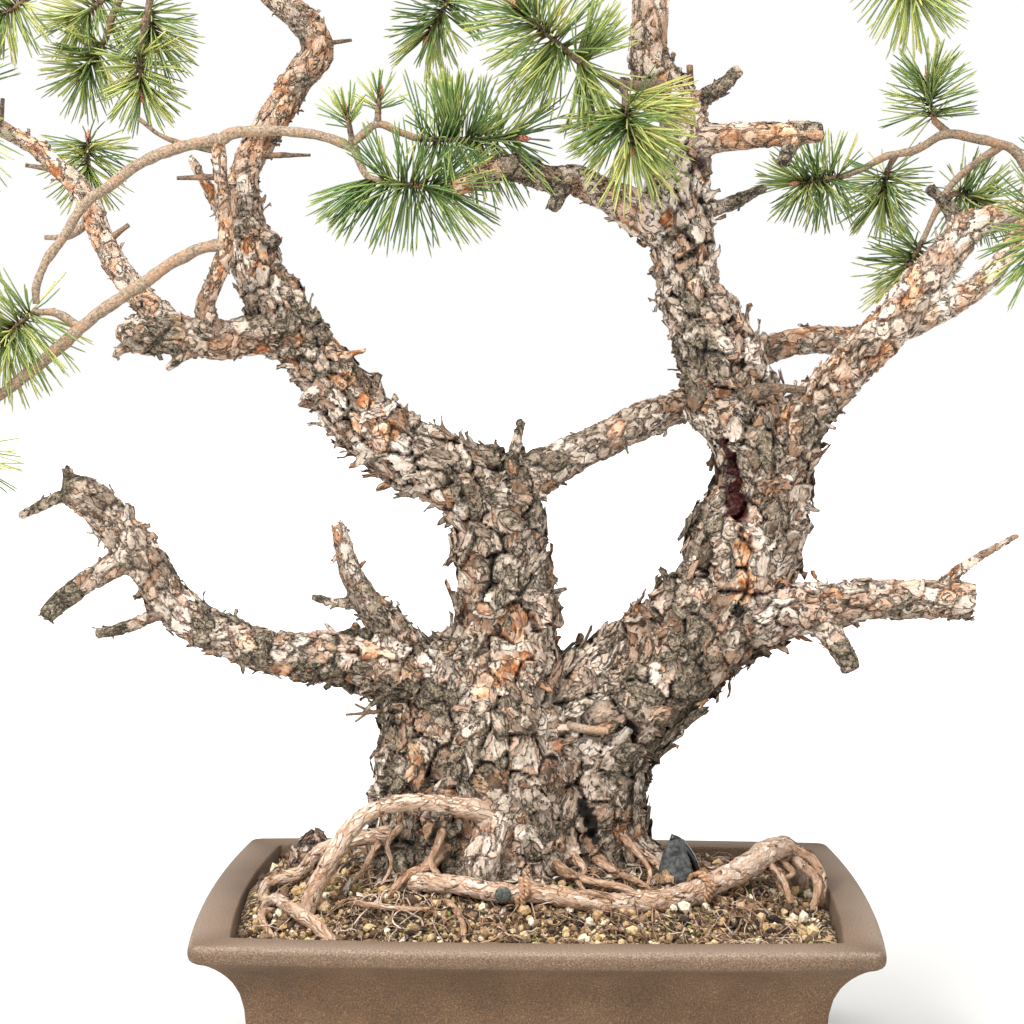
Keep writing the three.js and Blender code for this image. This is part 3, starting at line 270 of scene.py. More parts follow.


# pine bark: corky plates in thin layers that weather pinkish grey and wear back in steps, with lichen crust on top,
# orange new bark under them and gaps between. The shade in the gaps and the shadow under each step are painted in
# as dark lines. It gives the eye nested edge lines and warm streaks.
def makeBark():
    material, tree, shader = newMaterial("pineBarkPlated")
    place = add(tree, "Attribute", attribute_name="barkPlace", take="Vector")  # mm along the limb
    rim, ledge, plateTone, crust, inner, creviceDarkAndShade, resin = (
        add(tree, "Attribute", attribute_name=key, take="Fac")
        for key in ("plateEdge", "ledge", "plateTone", "crust", "inner", "creviceDarkAndShade", "resin"))
    drawn = add(tree, "VectorMath", {0: place, 1: (1, 1, 0.45)}, operation="MULTIPLY")
    wave = add(tree, "TexNoise", {"Vector": drawn, "Scale": 0.1, "Detail": 3.0})  # 10 mm
    fine = add(tree, "TexNoise", {"Vector": drawn, "Scale": 0.75, "Detail": 3.0, "Roughness": 0.75})  # 1.3 mm
    blot = add(tree, "TexNoise", {"Vector": place, "Scale": 0.13, "Detail": 5.0, "Roughness": 0.62})  # 8 mm
    lichen = add(tree, "TexNoise", {"Vector": place, "Scale": 0.6, "Detail": 4.0, "Roughness": 0.8})  # 1.7 mm
    flecks = add(tree, "MapRange", {"Value": fine, "From Min": 0.34, "From Max": 0.66})

    # thin layers run in from the plate's edge, each with a tone of its own
    rim = add(tree, "Math", {0: flecks, 1: 1.3, 2: rim}, operation="MULTIPLY_ADD")  # mm from the plate's edge
    inward = add(tree, "Math", {0: rim, 1: 8.0}, operation="MINIMUM")
    for value, amount in ((wave, 4.4), (inward, 0.2)):
        ledge = add(tree, "Math", {0: value, 1: amount, 2: ledge}, operation="MULTIPLY_ADD")
    part = add(tree, "Math", {0: ledge}, operation="FRACT")
    layer = add(tree, "Math", {0: ledge}, operation="FLOOR")
    layerTone = add(tree, "TexWhiteNoise", {"W": layer}, noise_dimensions="1D")
    shade = add(tree, "Math", {0: plateTone, 1: 0.44, 2: -0.03}, operation="MULTIPLY_ADD")
    for value, amount in ((layerTone, 0.24), (flecks, 0.17), (blot, 0.36)):
        shade = add(tree, "Math", {0: value, 1: amount, 2: shade}, operation="MULTIPLY_ADD")
    face = add(tree, "ValToRGB", {"Fac": shade},
               stops=[(0.18, "#241b14"), (0.34, "#574739"), (0.47, "#8a7867"), (0.6, "#b8a593"), (0.8, "#e0d2c3")])

    # some layers are warm near their edge
    warm = add(tree, "MapRange", {"Value": rim, "From Min": 1.2, "From Max": 5.0, "To Min": 0.75, "To Max": 0.1})
    some = add(tree, "SeparateColor", {"Color": layerTone.node.outputs["Color"]}, take="Green")
    some = add(tree, "MapRange", {"Value": some, "From Min": 0.4, "From Max": 0.6})
    warm = add(tree, "Math", {0: warm, 1: some}, operation="MULTIPLY")

    # grey lichen crust, and orange new bark where a plate has gone
    crustShade = add(tree, "ValToRGB", {"Fac": lichen},
                     stops=[(0.34, "#2a231b"), (0.46, "#5d5243"), (0.56, "#857764"), (0.68, "#b3a48c")])
    crust = add(tree, "Math", {0: blot, 1: 1.1, 2: crust}, operation="MULTIPLY_ADD")
    crust = add(tree, "MapRange", {"Value": crust, "From Min": 0.78, "From Max": 0.96})
    innerShade = add(tree, "ValToRGB", {"Fac": blot},
                     stops=[(0.32, "#6b3f24"), (0.42, "#a8693f"), (0.52, "#c79a74"), (0.66, "#dcc2a8")])
    inner = add(tree, "Math", {0: flecks, 1: 0.3, 2: inner}, operation="MULTIPLY_ADD")
    inner = add(tree, "MapRange", {"Value": inner, "From Min": 0.5, "From Max": 0.8})

    # painted shadow and shade: dark lines under the steps and at the plate edges by the gaps
    step = add(tree, "MapRange", {"Value": part, "From Min": 0.03, "From Max": 0.24, "To Min": 0.95, "To Max": 0.0})
    broken = add(tree, "MapRange", {"Value": blot, "From Min": 0.37, "From Max": 0.5})
    shadowLines = add(tree, "Math", {0: step, 1: broken}, operation="MULTIPLY")
    # a plate's edge is painted dark as the shade in the gap beside it
    gapShade = add(tree, "MapRange", {"Value": rim, "From Min": 0.6, "From Max": 1.9, "To Min": 1.0, "To Max": 0.0})
    # crevices are painted dark: dark bark and painted shade
    creviceDarkAndShade = add(tree, "Math", {0: flecks, 1: 0.3, 2: creviceDarkAndShade}, operation="MULTIPLY_ADD")
    creviceDarkAndShade = add(tree, "MapRange", {"Value": creviceDarkAndShade, "From Min": 0.42, "From Max": 0.8})
    gapShade = add(tree, "Math", {0: gapShade, 1: creviceDarkAndShade}, operation="MAXIMUM")
    shadowLines = add(tree, "Math", {0: shadowLines, 1: gapShade}, operation="MAXIMUM")

    # over the bark tones: warm edges, lichen, orange new bark, then painted shadow and shade in #1a120c, then resin
    skin = face
    for amount, over in ((warm, colour("#a5785a")), (crust, crustShade), (inner, innerShade),
                         (shadowLines, colour("#1a120c")), (resin, colour("#38100b"))):
        skin = add(tree, "Mix", {"Factor": amount, firstColour: skin, secondColour: over}, data_type="RGBA")
    rough = add(tree, "MapRange", {"Value": resin, "To Min": 0.9, "To Max": 0.2})  # wet resin shines
    stack = add(tree, "Math", {0: part, 1: shadowLines}, operation="SUBTRACT")
    stack = add(tree, "Bump", {"Height": stack, "Strength": 0.9, "Distance": 0.0015})
    bump = add(tree, "Bump", {"Height": fine, "Strength": 0.5, "Distance": 0.0012, "Normal": stack})
    connect(tree, shader, {"Base Color": skin, "Normal": bump, "Roughness": rough, "IOR": 1.4})
    return material


# young pine twig: thin tan bark with a dry, scaly skin. It gives the eye a warm matt line with fine specks.
def makeTwigBark():
    material, tree, shader = newMaterial("pineTwigScaly")
    where = add(tree, "TexCoord", take="Object")
    scales = add(tree, "TexNoise", {"Vector": where, "Scale": 650.0, "Detail": 4.0, "Roughness": 0.8})  # 1.5 mm
    age = add(tree, "Attribute", attribute_name="twigAge", take="Fac")
    shade = add(tree, "Math", {0: scales, 1: 1.5, 2: age}, operation="MULTIPLY_ADD")
    skin = add(tree, "ValToRGB", {"Fac": shade},
               stops=[(0.32, "#2e231a"), (0.52, "#665443"), (0.68, "#8a7661"), (0.9, "#ad9b85")])
    blot = add(tree, "TexNoise", {"Vector": where, "Scale": 110.0, "Detail": 3.0})  # 9 mm patches
    bare = add(tree, "MapRange", {"Value": blot, "From Min": 0.52, "From Max": 0.62, "To Max": 0.45})
    skin = add(tree, "Mix", {"Factor": bare, firstColour: skin, secondColour: colour("#a67a58")}, data_type="RGBA")
    bump = add(tree, "Bump", {"Height": scales, "Strength": 0.8, "Distance": 0.0016})
    connect(tree, shader, {"Base Color": skin, "Normal": bump, "Roughness": 0.85})
    return material


# pine root: thin papery bark in pink and cream that scales off orange wood in long strips. It gives the eye pale
# strips along the root with rusty edges.
def makeRootBark():
    material, tree, shader = newMaterial("pineRootPapery")
    place = add(tree, "Attribute", attribute_name="rootPlace", take="Vector")  # mm along the root
    tone = add(tree, "Attribute", attribute_name="rootTone", take="Fac")
    sway = add(tree, "TexNoise", {"Vector": place, "Scale": 0.15, "Detail": 2.0}, take="Color")
    bent = add(tree, "VectorMath", {0: sway, 1: (7, 7, 7), 2: place}, operation="MULTIPLY_ADD")
    drawn = add(tree, "VectorMath", {0: bent, 1: (1, 1, 0.22)}, operation="MULTIPLY")
    blot = add(tree, "TexNoise", {"Vector": drawn, "Scale": 0.25, "Detail": 5.0, "Roughness": 0.68})  # 4 mm
    strip = add(tree, "TexVoronoi", {"Vector": drawn, "Scale": 0.28}, take="Color")  # 4 by 12 mm
    edges = add(tree, "TexVoronoi", {"Vector": drawn, "Scale": 0.28}, feature="DISTANCE_TO_EDGE")
    strip = add(tree, "SeparateColor", {"Color": strip}, take="Red")
    shade = add(tree, "Math", {0: blot, 1: 1.3, 2: tone}, operation="MULTIPLY_ADD")
    shade = add(tree, "Math", {0: strip, 1: 0.22, 2: shade}, operation="MULTIPLY_ADD")
    skin = add(tree, "ValToRGB", {"Fac": shade},
               stops=[(0.3, "#3a2a1e"), (0.44, "#6f5743"), (0.56, "#94745a"), (0.7, "#a98d77"), (0.88, "#b7a391"),
                      (1.0, "#cbbaa9")])
    seam = add(tree, "MapRange", {"Value": edges, "From Min": 0.0, "From Max": 0.16, "To Min": 0.95, "To Max": 0.0})
    seam = add(tree, "Math", {0: seam, 1: strip}, operation="MULTIPLY")
    skin = add(tree, "Mix", {"Factor": seam, firstColour: skin, secondColour: colour("#94602f")}, data_type="RGBA")
    lifted = add(tree, "Math", {0: seam, 1: -0.9, 2: blot}, operation="MULTIPLY_ADD")
    coarse = add(tree, "Bump", {"Height": lifted, "Strength": 0.8, "Distance": 0.0025})
    fine = add(tree, "TexNoise", {"Vector": drawn, "Scale": 0.9, "Detail": 3.0})  # 1.1 mm
    bump = add(tree, "Bump", {"Height": fine, "Strength": 0.6, "Distance": 0.001, "Normal": coarse})
    connect(tree, shader, {"Base Color": skin, "Normal": bump, "Roughness": 0.85})
    return material


# pine needle: waxy skin, blue-green with a yellow tip. It gives the eye a soft sheen along each needle.
def makeNeedleSkin():
    material, tree, shader = newMaterial("pineNeedleWaxy")
    tone, along = (add(tree, "Attribute", attribute_name=key, take="Fac") for key in ("needleTone", "needleAlong"))
    skin = add(tree, "ValToRGB", {"Fac": tone},
               stops=[(0.0, "#4c6a3c"), (0.3, "#728f54"), (0.55, "#98aa64"), (0.8, "#bcc375"), (1.0, "#d8d283")])
    sheath = add(tree, "ValToRGB", {"Fac": along},
                 stops=[(0.0, "#8a5a3c"), (0.06, "#b0a05e"), (0.16, "#ffffff"), (0.9, "#ffffff")])
    skin = add(tree, "Mix", {"Factor": 1.0, firstColour: skin, secondColour: sheath}, data_type="RGBA",
               blend_type="MULTIPLY")
    tip = add(tree, "MapRange", {"Value": along, "From Min": 0.86, "From Max": 1.0, "To Max": 0.85})
    skin = add(tree, "Mix", {"Factor": tip, firstColour: skin, secondColour: colour("#b9b254")}, data_type="RGBA")
    connect(tree, shader, {"Base Color": skin, "Roughness": 0.42, "IOR": 1.45})
    through = add(tree, "BsdfTranslucent", {"Color": skin})  # light passes a thin needle
    both = add(tree, "MixShader", {"Fac": 0.38, 1: shader.outputs[0], 2: through})
    ending = next(node for node in tree.nodes if node.type == "OUTPUT_MATERIAL")
    connect(tree, ending, {"Surface": both})
    return material


# pine bud: papery scales in red-brown with white resin edges. It gives the eye a pale pink tip.
def makeBudSkin():
    material, tree, shader = newMaterial("pineBudPapery")
    where = add(tree, "TexCoord", take="Object")
    scales = add(tree, "TexNoise", {"Vector": where, "Scale": 900.0, "Detail": 3.0})  # 1.1 mm scales
    skin = add(tree, "ValToRGB", {"Fac": scales},
               stops=[(0.32, "#7a3524"), (0.5, "#b0664a"), (0.62, "#d9a694"), (0.74, "#efd9d0")])
    connect(tree, shader, {"Base Color": skin, "Roughness": 0.7})
    return material


# bonsai soil: pumice, fired clay, humus and moss. It gives the eye pale angular grains over dark crumbs.
def makeSoilGrit():
    material, tree, shader = newMaterial("soilGritMixed")
    where = add(tree, "TexCoord", take="Object")
    kind = add(tree, "Attribute", attribute_name="grainKind", take="Fac")
    kind = add(tree, "ValToRGB", {"Fac": kind},
               stops=[(0.0, "#2a1f16"), (0.2, "#4c3726"), (0.36, "#7a5f45"), (0.5, "#a98a62"), (0.64, "#c0a67e"),
                      (0.78, "#d2c6ab"), (0.9, "#77803a")])
    kind.node.color_ramp.interpolation = "CONSTANT"
    dust = add(tree, "TexNoise", {"Vector": where, "Scale": 800.0, "Detail": 4.0})  # 1.2 mm dust
    tint = add(tree, "ValToRGB", {"Fac": dust}, stops=[(0.3, "#8d8378"), (0.55, "#ffffff")])
    skin = add(tree, "Mix", {"Factor": 0.8, firstColour: kind, secondColour: tint}, data_type="RGBA",
               blend_type="MULTIPLY")
    bump = add(tree, "Bump", {"Height": dust, "Strength": 0.6, "Distance": 0.001})
    connect(tree, shader, {"Base Color": skin, "Normal": bump, "Roughness": 0.95})
    return material


# humus: rotted bark and root crumbs between the grains. It gives the eye a dark, crumbly ground.
def makeHumus():
    material, tree, shader = newMaterial("humusCrumbs")
    where = add(tree, "TexCoord", take="Object")
    crumbs = add(tree, "TexVoronoi", {"Vector": where, "Scale": 480.0})  # 2 mm crumbs
    shade = add(tree, "SeparateColor", {"Color": crumbs.node.outputs["Color"]}, take="Red")
    skin = add(tree, "ValToRGB", {"Fac": shade},
               stops=[(0.0, "#150f0a"), (0.35, "#35271b"), (0.62, "#5f4830"), (0.84, "#93764f"), (1.0, "#b9a47e")])
    bump = add(tree, "Bump", {"Height": crumbs, "Strength": 1.0, "Distance": 0.002}, invert=True)
    connect(tree, shader, {"Base Color": skin, "Normal": bump, "Roughness": 1.0})
    return material


# one plain recipe for small hard things: two tones in clouds of one size, in mm
def makeCloudy(name, low, high, size, roughness, metallic=0.0, ior=1.5, depth=0.3):
    material, tree, shader = newMaterial(name)
    where = add(tree, "TexCoord", take="Object")
    cloud = add(tree, "TexNoise", {"Vector": where, "Scale": 1000 / size, "Detail": 5.0})
    skin = add(tree, "ValToRGB", {"Fac": cloud}, stops=[(0.35, low), (0.65, high)])
    bump = add(tree, "Bump", {"Height": cloud, "Strength": 0.5, "Distance": depth * mm})
    connect(tree, shader, {"Base Color": skin, "Normal": bump, "Roughness": roughness, "Metallic": metallic,
                           "IOR": ior})
    return material


stoneware = makeStoneware()
pineBark, twigBark, rootBark = makeBark(), makeTwigBark(), makeRootBark()
needleSkin, budSkin = makeNeedleSkin(), makeBudSkin()
soilGrit, humus = makeSoilGrit(), makeHumus()
# slate: split grey stone, matt with faint layers. Obsidian: volcanic glass, black and glossy.
slateSplit = makeCloudy("slateSplit", "#15181a", "#484a47", 2.5, 0.7, depth=1.2)
obsidian = makeCloudy("obsidianBroken", "#060707", "#1a1c1e", 9, 0.12, ior=1.49, depth=0.1)
# jute: twisted plant fibre, dull and hairy. Zinced steel: brushed, then dulled by weather.
juteCord = makeCloudy("juteTwisted", "#76543b", "#b08c6e", 2, 0.95)
nailSteel = makeCloudy("steelZincedDull", "#2f332f", "#686e66", 1.5, 0.5, metallic=0.7, depth=0.5)
# polythene: moulded in one with the mesh, dark and matt
meshPlastic = makeCloudy("polytheneMoulded", "#1d1f1e", "#2c2f2d", 6, 0.6)
print("materials made")


# rings of the pot: inset from the rim's outline, height. The gaps between the feet are half the size of a box.
pot = {
    "length": 420, "width": 315, "bulge": 7, "corner": 9, "floor": 26, "drainRadius": 14, "drainOffset": 85,
    "outside": [(36, 14), (34.4, 38), (33, 60), (31, 83), (28.6, 93), (25, 100.6), (21.9, 104.8), (18.5, 108.4),
                (14.7, 111.6), (10.7, 114.4), (7.5, 116.2), (5, 117.2), (3.4, 117.8), (1.8, 118.9), (0.7, 120.3),
                (0.1, 122.4), (0, 125.4), (0.25, 127.5), (0.9, 128.8), (2, 129.7), (3.4, 130)],
    "inside": [(22.6, 130), (23.2, 129.8), (23.7, 129.2), (24, 127.5), (25.5, 113), (34, 96.5), (41, 80), (43, 26)],
    "footHeight": 14, "foot": [(37.6, 0), (37, 0.6), (36, 16)], "footHollow": 56,
    "footGaps": [(115, 200), (250, 77.5)],
    "cornerSteps": 8, "sideSteps": 22,
}


def potRing(inset, z):
    halfX, halfY = pot["length"] / 2 - inset, pot["width"] / 2 - inset
    radius = max(pot["corner"] - inset * 0.28, 2.5)
    ring = []
    for sx, sy, start in ((1, -1, -90), (1, 1, 0), (-1, 1, 90), (-1, -1, 180)):
        for i in range(pot["cornerSteps"] + 1):
            angle = math.radians(start + 90 * i / pot["cornerSteps"])
            ring.append((sx * (halfX - radius) + radius * math.cos(angle),
                         sy * (halfY - radius) + radius * math.sin(angle), z))
        for i in range(1, pot["sideSteps"]):
            t = i / pot["sideSteps"]
            bow = pot["bulge"] * 4 * t * (1 - t)
            if start in (0, 180):
                ring.append((sx * (1 - 2 * t) * (halfX - radius), sy * (halfY + bow), z))
            else:
                ring.append((sx * (halfX + bow), sy * (1 - 2 * t) * (halfY - radius), z))
    return np.array(ring)


def solidFrom(rings):  # a closed body through rings
    middles = [rings[0].mean(axis=0), rings[-1].mean(axis=0)]
    return np.vstack(rings + [middles]), loftFaces(len(rings), len(rings[0]))


def cutOrJoin(name, target, tool, how):  # boolean on plain meshes, kept as plain meshes
    objects = [putInScene(name, plainMesh(name, *body, scale=1)) for body in (target, tool)]
    step = objects[0].modifiers.new("step", "BOOLEAN")
    step.operation, step.object, step.solver = how, objects[1], "EXACT"
    shaped = objects[0].evaluated_get(bpy.context.evaluated_depsgraph_get()).to_mesh()
    points = np.array([v.co for v in shaped.vertices])
    faces = [tuple(face.vertices) for face in shaped.polygons]
    for made in objects:
        bpy.data.objects.remove(made)
    return points, faces


def boxSolid(low, high):
    corners = np.array([[x, y, z] for z in (low[2], high[2]) for x, y in (
        (low[0], low[1]), (high[0], low[1]), (high[0], high[1]), (low[0], high[1]))], float)
    return corners, [(3, 2, 1, 0), (4, 5, 6, 7), (0, 1, 5, 4), (1, 2, 6, 5), (2, 3, 7, 6), (3, 0, 4, 7)]


def makeFeet():  # a ring under the pot, hollow, with a gap in each side: four corner feet
    feet = solidFrom([potRing(*ring) for ring in pot["foot"]])
    hollow = solidFrom([potRing(pot["footHollow"], z) for z in (-5, pot["footHeight"])])
    feet = cutOrJoin("foot", feet, hollow, "DIFFERENCE")
    rise = pot["footHeight"] - 0.5
    for x, y in pot["footGaps"]:
        feet = cutOrJoin("foot", feet, boxSolid((-x, -y, -rise), (x, y, rise)), "DIFFERENCE")
    return feet


def makePot():
    body = solidFrom([potRing(*ring) for ring in pot["outside"] + pot["inside"]])
    body = cutOrJoin("pot", body, makeFeet(), "UNION")
    turns = around(40)
    for side in (-1, 1):
        disc = np.stack([np.cos(turns) * pot["drainRadius"] + side * pot["drainOffset"],
                         np.sin(turns) * pot["drainRadius"], np.zeros(len(turns))], axis=1)
        body = cutOrJoin("pot", body, solidFrom([disc, disc + (0, 0, 40)]), "DIFFERENCE")
    points, faces = body

    # the top band is painted a little lighter and its outer top edge more: partly hand wear, partly a painted
    # highlight from the light above
    away = np.minimum(pot["length"] / 2 - abs(points[:, 0]), pot["width"] / 2 - abs(points[:, 1]))
    lip = smoothStep(points[:, 2], 126, 128.8) * smoothStep(-away, -4, -0.8)
    worn = 0.3 * smoothStep(points[:, 2], 118, 120) + 0.7 * lip
    piece = makePiece("stonewarePot", points, faces, [stoneware], {"worn": worn})
    bm = bmesh.new()
    bm.from_mesh(piece.data)
    for edge in bm.edges:
        edge.smooth = not (len(edge.link_faces) == 2 and edge.calc_face_angle(0) > math.radians(33))
    bm.to_mesh(piece.data)
    bm.free()
    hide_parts("pot")


screens = {"side": 40, "bar": 1.3, "bars": 12, "thick": 0.7, "overlap": 0.2, "clear": 0.3}


def makeScreens():  # squares of moulded mesh over the drain holes: thin bars crossed in two layers
    half, bar, thick = screens["side"] / 2, screens["bar"] / 2, screens["thick"]
    under = pot["floor"] + screens["clear"]
    upper = under + thick - screens["overlap"]
    for number, name in ((-1, "drain_screen_left"), (1, "drain_screen_right")):
        parts = []
        x = number * pot["drainOffset"]
        for i in range(screens["bars"]):
            offset = bar - half + i * 2 * (half - bar) / (screens["bars"] - 1)
            for low, high in (((x - half, offset - bar, under), (x + half, offset + bar, under + thick)),
                              ((x + offset - bar, -half, upper), (x + offset + bar, half, upper + thick))):
                parts.append((*boxSolid(low, high), {}))
        points, faces, _ = joinParts(parts)
        piece = makePiece(name + "_mesh", points, faces, [meshPlastic], smooth=False)
        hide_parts(name)


makePot()
makeScreens()
print("pot made")


# the skin of the wood; plates: spacing for each mm of the wood's radius, least, most, share of the relief, gap
wood = {
    "trunkVoxel": 1.7, "trunkPeel": 0.05, "limbVoxel": 1.95, "limbPeel": 0.11, "burl": 3.4, "lumps": 1.5,
    "plateLift": 2.9, "plateTilt": 3.6, "gapDepth": 4.2, "ledgeHeight": 1.4, "curlUp": 1.8,
    "plates": [(0.42, 7.6, 18.0, 1.0, 2.5), (0.16, 4.0, 8.0, 0.3, 1.0)],
}

# the same routes as the CAD part: [x, y, z, radius]
trunkRoutes = [
    [[-17, 5, 124, 59], [-17, 5, 158, 54], [-19, 3, 199, 51], [-21, 2, 238, 48.5], [-24, 2, 270, 42],
     [-26, 2, 292, 34]],
    [[-56, -6, 124, 57], [-58, -8, 158, 50], [-60, -8, 198, 45], [-63, -8, 237, 42], [-72, -10, 268, 34],
     [-84, -12, 283, 24]],
    [[23, 0, 124, 54], [23, 0, 157, 47], [26, 0, 197, 43], [33, 0, 233, 41], [52, 0, 257, 38]],
    [[34, 0, 240, 41], [67, 0, 269, 38], [99, 0, 299, 36], [124, 0, 329, 35], [135, 0, 362, 34],
     [145, 0, 395, 31], [145, 0, 422, 30], [135, 0, 445, 28.5], [125, 0, 463, 28], [117, -1, 481, 26]],
    [[-26, 0, 283, 37], [-22, 2, 306, 33], [-23, 4, 329, 31], [-26, 5, 348, 29], [-29, 5, 375, 27],
     [-36, 5, 394, 26.5], [-49, 4, 403, 24]],
]
trunkDepths = [1.25, 0.95, 0.95, 0.95, 0.95]  # each stem is this much deeper than wide

